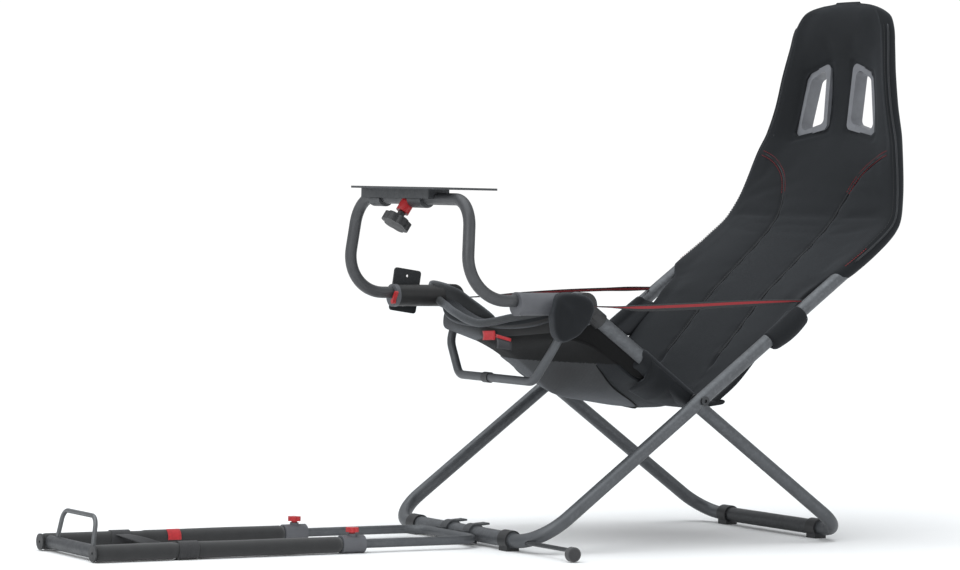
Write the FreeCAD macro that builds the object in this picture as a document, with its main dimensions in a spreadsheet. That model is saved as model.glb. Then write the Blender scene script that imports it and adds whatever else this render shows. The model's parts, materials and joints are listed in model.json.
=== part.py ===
import FreeCAD, Part
import math
import os

import Sketcher
from FreeCAD import Placement, Rotation, Vector

# Folding racing-simulator seat: two crossed tube frames that turn on one pivot, a fabric sling seat,
# a wheel hoop on adjustable arms with a clamped wheel plate, and a telescoping pedal frame on the floor.
# Lengths are millimetres. While building, x is across the seat (+x is the occupant's left), y points
# to the occupant's back with the pivot at y = 0, and z is up from the floor. The last step moves every
# piece together so that the origin lies on the floor under the middle of the whole object.

X_AXIS = Vector(1, 0, 0)
Y_AXIS = Vector(0, 1, 0)
Z_AXIS = Vector(0, 0, 1)
SIDES = (("left", 1), ("right", -1))

SIZES = {
    # main frames
    "frame_tube": 25.4,
    "frame_wall": 1.5,
    "pivot_height": 273,
    "back_angle": 36.35,
    "seat_angle": 35.26,
    "back_half_width": 262,
    "seat_half_width": 232,
    "bar_height": 20,
    "bar_tube": 28.4,
    "bar_wall": 1.45,
    "front_bar_half": 178,
    "rear_bar_half": 160,
    "front_corner_bend": 75,
    "rear_corner_bend": 62,
    "bar_insert": 118,
    "back_leg_reach": 480,
    "seat_leg_reach": 273,
    "foot_outer": 35,
    "foot_length": 28,
    "foot_width": 26,
    # pivot
    "pivot_bolt": 8,
    "pivot_head": 17,
    "washer_outer": 22,
    # running fits and drawn gaps
    "running_gap": 0.05,
    "cloth_gap": 0.6,
    # hidden back hoop
    "hoop_tube": 22.3,
    "hoop_wall": 1.5,
    # outrigger
    "outrigger_rod": 8,
    "outrigger_reach": 366,
    "outrigger_foot": 26,
    # wheel arms and hoop
    "hub_reach": 300,
    "hub_disc": 46,
    "hub_bolt": 8,
    "arm_half_width": 221,
    "arm_height": 452.5,
    "arm_sleeve": 41,
    "arm_sleeve_drop": 5.5,
    "arm_sleeve_front": 368,
    "arm_tube": 22,
    "arm_wall": 1.6,
    "hoop_front": 479,
    "crossbar_y": 463,
    "crossbar_height": 631,
    "crossbar_half": 200,
    # wheel plate
    "plate_width": 300,
    "plate_depth": 140,
    "plate_thick": 4,
    "plate_corner": 8,
    "plate_hole": 6.5,
    "plate_hole_x": 160,
    "plate_hole_y": 90,
    "plate_screw": 6,
    "screw_head": 10,
    "knob_lean": 33,
    "knob_disc": 54,
    "knob_thick": 16,
    # accessory plate
    "accessory_wide": 58,
    "accessory_tall": 82,
    "accessory_thick": 4,
    "accessory_hole": 5.5,
    "accessory_pitch": 56,
    # stretcher under the seat front
    "stretcher_tube": 16,
    "stretcher_wall": 1.5,
    # pedal frame
    "pedal_half_width": 108,
    "pedal_height": 16,
    "pedal_inner": 16,
    "pedal_outer": 19,
    "pedal_wall": 1.45,
    "pedal_sleeve": 30,
    "pedal_front": 1140,
    "pedal_collar_front": 661,
    "pedal_collar_back": 615,
    "pedal_collar": 32,
    "end_bar": 23.5,
    "loop_rod": 8,
    "loop_top": 75,
    "lock_head": 24,
    "hook_width": 22,
    "hook_thick": 4,
    "strap_wide": 40,
    # soft parts
    "sling_half_width": 165,
    "wing_half_width": 278,
    "pan_half_width": 165,
    "web_wide": 14,
    "web_thick": 1.6,
    "bezel_deep": 28,
    "bezel_rim": 12,
}

doc = FreeCAD.newDocument("folding_racing_seat")
sheet = doc.addObject("Spreadsheet::Sheet", "Sizes")
for row, (word, number) in enumerate(SIZES.items(), start=1):
    sheet.set(f"A{row}", word)
    sheet.set(f"B{row}", str(number))
    sheet.setAlias(f"B{row}", word)
doc.recompute()

PIECES = []


def size(word):
    """A driving dimension read from the sheet."""
    return float(sheet.get(word))


def keep(thing, label):
    """Name a finished piece and add it to the list that is written out."""
    thing.Label = label
    PIECES.append(thing)
    return thing


# ---------------------------------------------------------------- building helpers


def unit(vector):
    return vector * (1.0 / vector.Length)


def rounded_wire(points, bends):
    """Straight runs through the points, joined by tangent arcs of the given radii."""
    edges = []
    last = points[0]
    for before, corner, after, bend in zip(points, points[1:], points[2:], bends):
        back = unit(before - corner)
        ahead = unit(after - corner)
        half = back.getAngle(ahead) / 2
        trim = bend / math.tan(half)
        centre = corner + unit(back + ahead) * (bend / math.sin(half))
        start = corner + back * trim
        end = corner + ahead * trim
        middle = centre + unit(corner - centre) * bend
        edges.append(Part.LineSegment(last, start).toShape())
        edges.append(Part.Arc(start, middle, end).toShape())
        last = end
    edges.append(Part.LineSegment(last, points[-1]).toShape())
    return Part.Wire(edges)


def swept_rod(label, path, radius):
    """A solid rod of the given radius (an expression) along a path object."""
    first = path.Shape.Edges[0]
    begin = first.valueAt(first.FirstParameter)
    heading = first.tangentAt(first.FirstParameter)
    ring = doc.addObject("Part::Circle", label + "_ring")
    ring.setExpression("Radius", radius)
    ring.Placement = Placement(begin, Rotation(Z_AXIS, heading))
    rod = doc.addObject("Part::Sweep", label)
    rod.Sections = [ring]
    rod.Spine = (path, [])
    rod.Solid = True
    rod.Frenet = False
    return rod


def path_object(label, points, bends):
    path = doc.addObject("Part::Feature", label)
    path.Shape = rounded_wire(points, bends)
    return path


def bent_tube(label, points, bends, outer, wall):
    """A tube of one outer diameter and wall (sheet words) along straight runs and bends."""
    path = path_object(label + "_path", points, bends)
    skin = swept_rod(label + "_skin", path, f"Sizes.{outer} / 2")
    bore = swept_rod(label + "_bore", path, f"Sizes.{outer} / 2 - Sizes.{wall}")
    return cut(label, skin, bore)


def cut(label, base, tool):
    piece = doc.addObject("Part::Cut", label)
    piece.Base = base
    piece.Tool = tool
    return piece


def fuse(label, parts):
    piece = doc.addObject("Part::MultiFuse", label)
    piece.Shapes = parts
    return piece


def common(label, parts):
    piece = doc.addObject("Part::MultiCommon", label)
    piece.Shapes = parts
    return piece


def group(label, parts):
    """Several equal separate solids in one piece, such as a set of bolts."""
    piece = doc.addObject("Part::Compound", label)
    piece.Links = parts
    return piece


def cylinder(label, radius, length, start, heading):
    """A cylinder from start along heading; radius and length are expressions."""
    rod = doc.addObject("Part::Cylinder", label)
    rod.setExpression("Radius", str(radius))
    rod.setExpression("Height", str(length))
    rod.Placement = Placement(start, Rotation(Z_AXIS, heading))
    return rod


def box(label, low, high):
    """A box between two corners."""
    block = doc.addObject("Part::Box", label)
    block.Length = high.x - low.x
    block.Width = high.y - low.y
    block.Height = high.z - low.z
    block.Placement = Placement(low, Rotation())
    return block


def ring_around(label, outer, bore, length, start, heading):
    """A hollow cylinder; outer radius, bore radius and length are expressions."""
    skin = cylinder(label + "_skin", outer, length, start, heading)
    hole = cylinder(label + "_hole", bore, length, start, heading)
    return cut(label, skin, hole)


def plane_of(body, role):
    return next(item for item in body.Origin.OriginFeatures if item.Role == role)


def new_body(label, role):
    """A PartDesign body with an empty sketch on one of its origin planes."""
    body = doc.addObject("PartDesign::Body", label)
    sketch = body.newObject("Sketcher::SketchObject", label + "_sketch")
    sketch.AttachmentSupport = (plane_of(body, role), [""])
    sketch.MapMode = "FlatFace"
    return body, sketch


def bound_rectangle(sketch, wide, tall):
    """A rectangle about the sketch origin whose sides follow two sheet words."""
    half_wide = size(wide) / 2
    half_tall = size(tall) / 2
    low_side = [(-half_wide, -half_tall), (half_wide, -half_tall)]
    corners = low_side + [(half_wide, half_tall), (-half_wide, half_tall)]
    for here, there in zip(corners, corners[1:] + corners[:1]):
        sketch.addGeometry(Part.LineSegment(Vector(*here, 0), Vector(*there, 0)), False)
    for side in range(4):
        sketch.addConstraint(Sketcher.Constraint("Coincident", side, 2, (side + 1) % 4, 1))
    for side, kind in enumerate(("Horizontal", "Vertical", "Horizontal", "Vertical")):
        sketch.addConstraint(Sketcher.Constraint(kind, side))
    sketch.addConstraint(Sketcher.Constraint("Symmetric", 0, 1, 1, 2, -1, 1))
    for line, kind, word in ((0, "DistanceX", wide), (1, "DistanceY", tall)):
        index = sketch.addConstraint(Sketcher.Constraint(kind, line, 1, line, 2, size(word)))
        sketch.renameConstraint(index, word)
        sketch.setExpression(f"Constraints.{word}", f"Sizes.{word}")


def pad_sketch(body, sketch, thick):
    """Pad a sketch evenly to both sides of its plane."""
    pad = body.newObject("PartDesign::Pad", body.Name + "_pad")
    pad.Profile = sketch
    pad.SideType = "Symmetric"
    pad.setExpression("Length", thick)
    return pad


def upright_edges(pad, thick):
    """The names of the four short corner edges of a padded plate."""
    names = []
    for number, edge in enumerate(pad.Shape.Edges, start=1):
        if abs(edge.Length - size(thick)) < 0.01:
            names.append(f"Edge{number}")
    return names


def extruded(label, wire_edges, heading, length):
    """A prism of a closed planar outline, grown evenly to both sides."""
    outline = doc.addObject("Part::Feature", label + "_outline")
    outline.Shape = Part.Face(Part.Wire(wire_edges))
    prism = doc.addObject("Part::Extrusion", label)
    prism.Base = outline
    prism.DirMode = "Custom"
    prism.Dir = heading
    prism.Solid = True
    prism.Symmetric = True
    prism.setExpression("LengthFwd", str(length))
    return prism


def polygon(points):
    return [Part.LineSegment(a, b).toShape() for a, b in zip(points, points[1:] + points[:1])]


def smooth(points):
    """One smooth edge through the points."""
    curve = Part.BSplineCurve()
    curve.interpolate(points)
    return curve.toShape()


def mirrored(point):
    return Vector(-point.x, point.y, point.z)


# ---------------------------------------------------------------- reference points

BACK = math.radians(size("back_angle"))
SEAT = math.radians(size("seat_angle"))
PIVOT_Z = size("pivot_height")
BAR_Z = size("bar_height")
FRONT_BAR_Y = -(PIVOT_Z - BAR_Z) / math.tan(BACK)
REAR_BAR_Y = (PIVOT_Z - BAR_Z) / math.tan(SEAT)
BACK_WIDE = size("back_half_width")
SEAT_WIDE = size("seat_half_width")
TUBE = size("frame_tube") / 2
GAP = size("running_gap")
CLOTH = size("cloth_gap")
BACK_HEADING = Vector(0, math.cos(BACK), math.sin(BACK))
SEAT_HEADING = Vector(0, -math.cos(SEAT), math.sin(SEAT))
HUB = Vector(0, 0, PIVOT_Z) + SEAT_HEADING * size("hub_reach")

# Hole and bore radii that appear more than once, as sheet expressions.
PIVOT_HOLE = "Sizes.pivot_bolt / 2 + Sizes.running_gap"
HUB_HOLE = "Sizes.hub_bolt / 2 + Sizes.running_gap"
ARM_BORE = "Sizes.arm_tube / 2 + Sizes.running_gap"


def on_back(x, reach, proud=0.0):
    """A point on a back leg's centre line, and how far in front of it."""
    normal = Vector(0, -math.sin(BACK), math.cos(BACK))
    return Vector(x, 0, PIVOT_Z) + BACK_HEADING * reach + normal * proud


def on_seat(x, reach, proud=0.0):
    """A point on a seat leg's centre line, and how far above it."""
    normal = Vector(0, math.sin(SEAT), math.cos(SEAT))
    return Vector(x, 0, PIVOT_Z) + SEAT_HEADING * reach + normal * proud


# ---------------------------------------------------------------- floor bar (stays on the floor)


def floor_bar(label, y, half):
    """The larger tube that joins the two legs at the floor."""
    start = Vector(-size(half), y, BAR_Z)
    bore = "Sizes.bar_tube / 2 - Sizes.bar_wall"
    keep(ring_around(label, "Sizes.bar_tube / 2", bore, f"2 * Sizes.{half}", start, X_AXIS), label)


def floor_foot(label, y, half, side):
    """A plastic collar on the end of a floor bar, with a flat pad that rests on the floor."""
    long = size("foot_length")
    inner = side * size(half) - (long if side > 0 else 0)
    start = Vector(inner, y, BAR_Z)
    collar = cylinder(label + "_collar", "Sizes.foot_outer / 2", "Sizes.foot_length", start, X_AXIS)
    wide = size("foot_width") / 2
    pad = box(label + "_pad", Vector(inner, y - wide, 0), Vector(inner + long, y + wide, BAR_Z))
    bore = cylinder(label + "_bore", "Sizes.bar_tube / 2", "Sizes.foot_length", start, X_AXIS)
    keep(cut(label, fuse(label + "_body", [collar, pad]), bore), label)


floor_bar("front_floor_bar", FRONT_BAR_Y, "front_bar_half")
floor_bar("rear_floor_bar", REAR_BAR_Y, "rear_bar_half")
for word, side in SIDES:
    floor_foot(f"front_foot_{word}", FRONT_BAR_Y, "front_bar_half", side)
    floor_foot(f"rear_foot_{word}", REAR_BAR_Y, "rear_bar_half", side)

# ---------------------------------------------------------------- back frame


def back_leg(word, side):
    """A bent tube: its foot turns into the front floor bar, its top runs up into the backrest."""
    label = f"back_leg_{word}"
    foot = Vector(side * size("bar_insert"), FRONT_BAR_Y, BAR_Z)
    corner = Vector(side * BACK_WIDE, FRONT_BAR_Y, BAR_Z)
    top = on_back(side * BACK_WIDE, size("back_leg_reach"))
    bends = [size("front_corner_bend")]
    leg = bent_tube(label + "_tube", [foot, corner, top], bends, "frame_tube", "frame_wall")
    start = Vector(side * (BACK_WIDE - 40), 0, PIVOT_Z)
    hole = cylinder(label + "_pivot_hole", PIVOT_HOLE, 80, start, X_AXIS * side)
    drilled = cut(label + "_drilled", leg, hole)
    if side > 0:
        start = Vector(BACK_WIDE - 70, FRONT_BAR_Y, BAR_Z)
        outlet = cylinder(label + "_rod_hole", "Sizes.outrigger_rod / 2 + 0.6", 110, start, X_AXIS)
        drilled = cut(label + "_outlet", drilled, outlet)
    keep(drilled, label)


for word, side in SIDES:
    back_leg(word, side)

# The hidden hoop pushes into both legs, rises inside the wings, narrows at the shoulders and closes
# over the headrest.
HOOP_SIDE = [
    on_back(BACK_WIDE, 435),
    on_back(BACK_WIDE, 540),
    Vector(232, 462, 676),
    Vector(172, 488, 790),
    Vector(112, 510, 998),
]
HOOP_BENDS = [70, 60, 70, 50]
hoop_points = HOOP_SIDE + [mirrored(point) for point in reversed(HOOP_SIDE)]
hoop_bends = HOOP_BENDS + list(reversed(HOOP_BENDS))
keep(bent_tube("backrest_hoop", hoop_points, hoop_bends, "hoop_tube", "hoop_wall"), "backrest_hoop")

# Pivot hardware: one shoulder bolt each side passes through both legs, with a plastic washer between.
bolts = []
washers = []
nuts = []
for word, side in SIDES:
    outside = side * (BACK_WIDE + TUBE)
    inside = side * (SEAT_WIDE - TUBE)
    start = Vector(outside, 0, PIVOT_Z)
    head = cylinder(f"bolt_head_{word}", "Sizes.pivot_head / 2", 5, start, X_AXIS * side)
    shank_length = abs(outside - inside) + 6
    shank = cylinder(f"bolt_shank_{word}", "Sizes.pivot_bolt / 2", shank_length, start, X_AXIS * -side)
    socket = doc.addObject("Part::Prism", f"bolt_socket_{word}")
    socket.Polygon = 6
    socket.Circumradius = 3.5
    socket.Height = 3
    socket.Placement = Placement(Vector(outside + side * 5, 0, PIVOT_Z), Rotation(Z_AXIS, X_AXIS * -side))
    bolts.append(cut(f"bolt_{word}", fuse(f"bolt_blank_{word}", [head, shank]), socket))
    between = BACK_WIDE - SEAT_WIDE - 2 * TUBE
    start = Vector(side * (SEAT_WIDE + TUBE), 0, PIVOT_Z)
    outer = "Sizes.washer_outer / 2"
    washers.append(ring_around(f"washer_{word}", outer, PIVOT_HOLE, between, start, X_AXIS * side))
    nut = doc.addObject("Part::Prism", f"nut_blank_{word}")
    nut.Polygon = 6
    nut.Circumradius = 7.5
    nut.Height = 6
    nut.Placement = Placement(Vector(inside, 0, PIVOT_Z), Rotation(Z_AXIS, X_AXIS * -side))
    thread = cylinder(f"nut_thread_{word}", "Sizes.pivot_bolt / 2", 6, nut.Placement.Base, X_AXIS * -side)
    nuts.append(cut(f"nut_{word}", nut, thread))
keep(group("pivot_bolts", bolts), "pivot_bolts")
keep(group("pivot_washers", washers), "pivot_washers")
keep(group("pivot_nuts", nuts), "pivot_nuts")

# ---------------------------------------------------------------- outrigger, stored in the left bar end

rod_start = Vector(size("bar_insert") + 4, FRONT_BAR_Y, BAR_Z)
bush_bore = "Sizes.outrigger_rod / 2 + Sizes.running_gap"
bush_outer = "Sizes.frame_tube / 2 - Sizes.frame_wall"
keep(ring_around("outrigger_bush", bush_outer, bush_bore, 40, rod_start, X_AXIS), "outrigger_bush")
rod_length = size("outrigger_reach") - rod_start.x
keep(cylinder("outrigger_rod", "Sizes.outrigger_rod / 2", rod_length, rod_start, X_AXIS), "outrigger_rod")
foot_start = Vector(size("outrigger_reach"), FRONT_BAR_Y, size("outrigger_foot") / 2 + 1)
foot_blank = cylinder("outrigger_foot_blank", "Sizes.outrigger_foot / 2", 20, foot_start, X_AXIS)
foot = doc.addObject("Part::Fillet", "outrigger_foot")
foot.Base = foot_blank
doc.recompute()
round_edges = [index for index, edge in enumerate(foot_blank.Shape.Edges, start=1) if edge.Length > 60]
foot.Edges = [(index, 5, 5) for index in round_edges]
keep(foot, "outrigger_foot")

# ---------------------------------------------------------------- seat frame


def seat_leg(word, side):
    """A bent tube: it rises from the rear floor bar through the pivot to the hub at the seat front."""
    label = f"seat_leg_{word}"
    foot = Vector(side * size("bar_insert"), REAR_BAR_Y, BAR_Z)
    corner = Vector(side * SEAT_WIDE, REAR_BAR_Y, BAR_Z)
    top = on_seat(side * SEAT_WIDE, size("seat_leg_reach"))
    bends = [size("rear_corner_bend")]
    leg = bent_tube(label + "_tube", [foot, corner, top], bends, "frame_tube", "frame_wall")
    start = Vector(side * (SEAT_WIDE - 40), 0, PIVOT_Z)
    hole = cylinder(label + "_pivot_hole", PIVOT_HOLE, 80, start, X_AXIS * side)
    keep(cut(label, leg, hole), label)


def seat_hub(word, side):
    """The outer half of the toothed joint: a socket on the leg's end and a disc about the hub bolt."""
    label = f"seat_hub_{word}"
    wide = side * SEAT_WIDE
    socket = cylinder(label + "_socket", "Sizes.frame_tube / 2 + 2.8", 26, on_seat(wide, 248), SEAT_HEADING)
    disc_start = HUB + X_AXIS * side * 236
    disc = cylinder(label + "_disc", "Sizes.hub_disc / 2", 14, disc_start, X_AXIS * side)
    web = box(label + "_web", Vector(236, -38, -10), Vector(247, 0, 10))
    turn = Rotation(X_AXIS, -math.degrees(SEAT))
    shift = HUB + turn.multVec(Vector(0, 38, 0))
    web.Placement = Placement(shift + turn.multVec(Vector(236 if side > 0 else -247, -38, -10)), turn)
    blank = fuse(label + "_blank", [socket, disc, web])
    bore = cylinder(label + "_bore", "Sizes.frame_tube / 2", 29, on_seat(wide, 247), SEAT_HEADING)
    bolt_start = HUB + X_AXIS * side * 190
    bolt = cylinder(label + "_bolt_hole", HUB_HOLE, 80, bolt_start, X_AXIS * side)
    keep(cut(label, cut(label + "_bored", blank, bore), bolt), label)


for word, side in SIDES:
    seat_leg(word, side)
    seat_hub(word, side)

# The stretcher hangs from the two hub sockets and joins them under the seat front.
STRETCHER_SIDE = [
    on_seat(SEAT_WIDE, 262, -4),
    Vector(192, -252, 404),
    Vector(180, -270, 362),
    Vector(131, -279, 302),
]
stretcher_points = STRETCHER_SIDE + [mirrored(point) for point in reversed(STRETCHER_SIDE)]
stretcher_bends = [22, 60, 30, 30, 60, 22]
stretcher_raw = bent_tube(
    "stretcher_raw", stretcher_points, stretcher_bends, "stretcher_tube", "stretcher_wall"
)
sockets = []
for word, side in SIDES:
    start = on_seat(side * SEAT_WIDE, 220)
    radius = "Sizes.frame_tube / 2 + 2.85"
    sockets.append(cylinder(f"stretcher_trim_{word}", radius, 80, start, SEAT_HEADING))
stretcher = cut("stretcher", stretcher_raw, fuse("stretcher_trims", sockets))
keep(stretcher, "seat_stretcher")
collar_start = Vector(-38, -279, 302)
bore = "Sizes.stretcher_tube / 2"
keep(ring_around("stretcher_collar", bore + " + 2", bore, 20, collar_start, X_AXIS), "stretcher_collar")

# ---------------------------------------------------------------- wheel arms


LEVER_PIN = Vector(-208, -size("arm_sleeve_front") - 13, size("arm_height") - 16.5)


def arm_sleeve(word, side):
    """The inner half of the toothed joint with the sleeve that the wheel hoop slides in."""
    label = f"arm_sleeve_{word}"
    wide = side * size("arm_half_width")
    outer_z = size("arm_height") - size("arm_sleeve_drop")
    back = -HUB.y + 26
    length = size("arm_sleeve_front") - back
    sleeve_start = Vector(wide, -back, outer_z)
    sleeve = cylinder(label + "_outer", "Sizes.arm_sleeve / 2", length, sleeve_start, -Y_AXIS)
    disc_start = HUB + X_AXIS * side * 212.5
    disc = cylinder(label + "_disc", "Sizes.hub_disc / 2", 22, disc_start, X_AXIS * side)
    low = min(side * 212.5, side * 234.5)
    neck = box(label + "_neck", Vector(low, -back - 6, HUB.z - 15), Vector(low + 22, HUB.y, HUB.z + 15))
    blank = fuse(label + "_blank", [sleeve, disc, neck])
    start = Vector(wide, -back, size("arm_height"))
    bore = cylinder(label + "_bore", ARM_BORE, length, start, -Y_AXIS)
    bolt_start = HUB + X_AXIS * side * 200
    bolt = cylinder(label + "_bolt_hole", HUB_HOLE, 60, bolt_start, X_AXIS * side)
    keep(cut(label, cut(label + "_bored", blank, bore), bolt), label)
    ring_start = Vector(wide, -size("arm_sleeve_front"), size("arm_height"))
    low_start = Vector(wide, ring_start.y, outer_z)
    ring_skin = cylinder(label + "_ring_skin", "Sizes.arm_sleeve / 2 + 1", 9, low_start, -Y_AXIS)
    ring_bore = cylinder(label + "_ring_bore", ARM_BORE, 9, ring_start, -Y_AXIS)
    ring = cut(label + "_ring", ring_skin, ring_bore)
    if side < 0:
        socket = cylinder("lever_socket", "2.5 + Sizes.running_gap", 20, LEVER_PIN, Y_AXIS)
        ring = cut(label + "_ring_drilled", ring, socket)
    return ring


hub_bolts = []
arm_rings = []
for word, side in SIDES:
    arm_rings.append(arm_sleeve(word, side))
    head_start = Vector(side * 250, HUB.y, HUB.z)
    head = cylinder(f"hub_bolt_head_{word}", 8, 4, head_start, X_AXIS * side)
    shank = cylinder(f"hub_bolt_shank_{word}", "Sizes.hub_bolt / 2", 42, head_start, X_AXIS * -side)
    hub_bolts.append(fuse(f"hub_bolt_{word}", [head, shank]))
keep(group("hub_bolts", hub_bolts), "hub_bolts")
keep(group("arm_rings", arm_rings), "arm_rings")

# The far sleeve carries a small rounded plate for an accessory, standing on its outer face.
plate, sketch = new_body("accessory_plate", "YZ_Plane")
bound_rectangle(sketch, "accessory_wide", "accessory_tall")
pad = pad_sketch(plate, sketch, "Sizes.accessory_thick")
doc.recompute()
corners = upright_edges(pad, "accessory_thick")
rounding = plate.newObject("PartDesign::Fillet", "accessory_corners")
rounding.Base = (pad, corners)
rounding.Radius = 6
doc.recompute()
holes = plate.newObject("Sketcher::SketchObject", "accessory_hole_sketch")
holes.AttachmentSupport = (plane_of(plate, "YZ_Plane"), [""])
holes.MapMode = "FlatFace"
for up in (1, -1):
    centre = Vector(0, up * size("accessory_pitch") / 2, 0)
    holes.addGeometry(Part.Circle(centre, Z_AXIS, size("accessory_hole") / 2), False)
pocket = plate.newObject("PartDesign::Pocket", "accessory_holes")
pocket.Profile = holes
pocket.SideType = "Symmetric"
pocket.Length = 20
plate_x = -(size("arm_half_width") + size("arm_sleeve") / 2 + size("accessory_thick") / 2 + 0.3)
tilt = Rotation(X_AXIS, -8)
plate.Placement = Placement(Vector(plate_x, -335, size("arm_height") + 3), tilt)
keep(plate, "accessory_plate")

# A release lever stands in front of the far ring and rocks on a stud beside the hoop tube.
paddle = box("lever_paddle", Vector(-2.5, -3, 0), Vector(2.5, 3.7, 22))
lean = Rotation(Y_AXIS, 32)
paddle.Placement = Placement(LEVER_PIN + lean.multVec(Vector(-2.5, -3, 0)), lean)
stud = cylinder("lever_stud", 2.5, 10, LEVER_PIN, Y_AXIS)
knuckle = cylinder("lever_knuckle", 4.5, 6.7, LEVER_PIN - Vector(0, 3, 0), Y_AXIS)
keep(fuse("release_lever", [paddle, stud, knuckle]), "release_lever")

# ---------------------------------------------------------------- wheel hoop

CROSS_Y = -size("crossbar_y")
CROSS_Z = size("crossbar_height")
ARM_Z = size("arm_height")
WHEEL_SIDE = [
    Vector(size("arm_half_width"), -300, ARM_Z),
    Vector(size("arm_half_width"), -size("hoop_front"), ARM_Z),
    Vector(size("crossbar_half"), CROSS_Y, CROSS_Z),
]
wheel_points = WHEEL_SIDE + [mirrored(point) for point in reversed(WHEEL_SIDE)]
keep(bent_tube("wheel_hoop", wheel_points, [75, 55, 55, 75], "arm_tube", "arm_wall"), "wheel_hoop")

# ---------------------------------------------------------------- wheel plate and its clamp

PLATE_Y = CROSS_Y + 20
PLATE_Z = CROSS_Z + 19
plate, sketch = new_body("wheel_plate", "XY_Plane")
bound_rectangle(sketch, "plate_width", "plate_depth")
pad = pad_sketch(plate, sketch, "Sizes.plate_thick")
doc.recompute()
corners = upright_edges(pad, "plate_thick")
rounding = plate.newObject("PartDesign::Fillet", "plate_corners")
rounding.Base = (pad, corners)
rounding.setExpression("Radius", "Sizes.plate_corner")
doc.recompute()
holes = plate.newObject("Sketcher::SketchObject", "plate_hole_sketch")
holes.AttachmentSupport = (plane_of(plate, "XY_Plane"), [""])
holes.MapMode = "FlatFace"
for across in (1, -1):
    for along in (1, -1):
        centre = Vector(across * size("plate_hole_x") / 2, along * size("plate_hole_y") / 2, 0)
        holes.addGeometry(Part.Circle(centre, Z_AXIS, size("plate_hole") / 2), False)
pocket = plate.newObject("PartDesign::Pocket", "plate_holes")
pocket.Profile = holes
pocket.SideType = "Symmetric"
pocket.Length = 20
screw_spots = [(-120, -15), (-30, -15), (30, -15), (78, -15)]
screws_sketch = plate.newObject("Sketcher::SketchObject", "plate_screw_sketch")
sinks_sketch = plate.newObject("Sketcher::SketchObject", "plate_sink_sketch")
for drawn, wide in ((screws_sketch, size("plate_screw")), (sinks_sketch, size("screw_head") + 0.2)):
    drawn.AttachmentSupport = (plane_of(plate, "XY_Plane"), [""])
    drawn.MapMode = "FlatFace"
    for across, along in screw_spots:
        drawn.addGeometry(Part.Circle(Vector(across, along, 0), Z_AXIS, wide / 2), False)
screw_holes = plate.newObject("PartDesign::Pocket", "plate_screw_holes")
screw_holes.Profile = screws_sketch
screw_holes.SideType = "Symmetric"
screw_holes.Length = 20
screw_sinks = plate.newObject("PartDesign::Pocket", "plate_screw_sinks")
screw_sinks.Profile = sinks_sketch
screw_sinks.Reversed = True
screw_sinks.Length = 20
plate.Placement = Placement(Vector(0, PLATE_Y, PLATE_Z), Rotation())
keep(plate, "wheel_plate")

saddle_top = PLATE_Z - size("plate_thick") / 2
rail = box("saddle_rail", Vector(-155, CROSS_Y - 22, CROSS_Z), Vector(90, CROSS_Y + 22, saddle_top))
near_ring = cylinder("saddle_near", 17, 60, Vector(-10, CROSS_Y, CROSS_Z), X_AXIS)
far_ring = cylinder("saddle_far", 16, 40, Vector(-140, CROSS_Y, CROSS_Z), X_AXIS)
saddle_blank = fuse("saddle_blank", [rail, near_ring, far_ring])
cross_bore = cylinder("saddle_bore", ARM_BORE, 300, Vector(-180, CROSS_Y, CROSS_Z), X_AXIS)
CROSS = Vector(0, CROSS_Y, CROSS_Z)
SPLIT = Vector(0, 0, 0.5)
below = box("saddle_below", CROSS - Vector(200, 60, 60), CROSS + Vector(200, 60, 0))
above = box("saddle_above", CROSS - Vector(200, 60, 0) - SPLIT, CROSS + Vector(200, 60, 60))
saddle_bored = cut("saddle_bored", saddle_blank, cross_bore)
saddle_upper = cut("saddle_upper", saddle_bored, below)
screw_shanks = []
plate_screws = []
for number, (across, along) in enumerate(screw_spots, start=1):
    spot = Vector(across, PLATE_Y + along, saddle_top + size("plate_thick"))
    drill = cylinder(f"saddle_drill_{number}", "Sizes.plate_screw / 2", 9, spot, -Z_AXIS)
    screw_shanks.append(drill)
    sunk = spot - Z_AXIS * size("plate_thick") / 2
    head = cylinder(f"plate_screw_head_{number}", "Sizes.screw_head / 2", 1.9, sunk, Z_AXIS)
    shank = cylinder(f"plate_screw_shank_{number}", "Sizes.plate_screw / 2", 9, spot, -Z_AXIS)
    plate_screws.append(fuse(f"plate_screw_{number}", [head, shank]))
keep(cut("clamp_saddle", saddle_upper, fuse("saddle_drills", screw_shanks)), "clamp_saddle")
keep(group("plate_screws", plate_screws), "plate_screws")


def clamp_cap(label, radius, start, length):
    """The lower half of a split ring round the crossbar."""
    end = CROSS + X_AXIS * start
    blank = cylinder(label + "_blank", radius, length, end, X_AXIS)
    bore = cylinder(label + "_bore", ARM_BORE, length, end, X_AXIS)
    keep(cut(label, cut(label + "_bored", blank, bore), above), label)


clamp_cap("clamp_cap_near", 17, 4, 46)
clamp_cap("clamp_cap_far", 16, -140, 40)

LEAN = math.radians(size("knob_lean"))
KNOB_HEADING = Vector(0, -math.sin(LEAN), -math.cos(LEAN))
KNOB_FOOT = CROSS - Vector(12, 0, 0)
jaw_blank = cylinder("jaw_blank", 12.5, 22, KNOB_FOOT + KNOB_HEADING * 8, KNOB_HEADING)
jaw_bore = cylinder("jaw_bore", ARM_BORE, 60, KNOB_FOOT - Vector(30, 0, 0), X_AXIS)
jaw_trim = box("jaw_trim", CROSS + Vector(3.5, -40, -60), CROSS + Vector(60, 40, 60))
jaw_hole = cylinder("jaw_hole", "4 + Sizes.running_gap", 30, KNOB_FOOT + KNOB_HEADING * 6, KNOB_HEADING)
jaw_shape = cut("jaw_low", cut("jaw_bored", cut("jaw_trimmed", jaw_blank, jaw_trim), jaw_bore), above)
keep(cut("clamp_jaw", jaw_shape, jaw_hole), "clamp_jaw")

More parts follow.
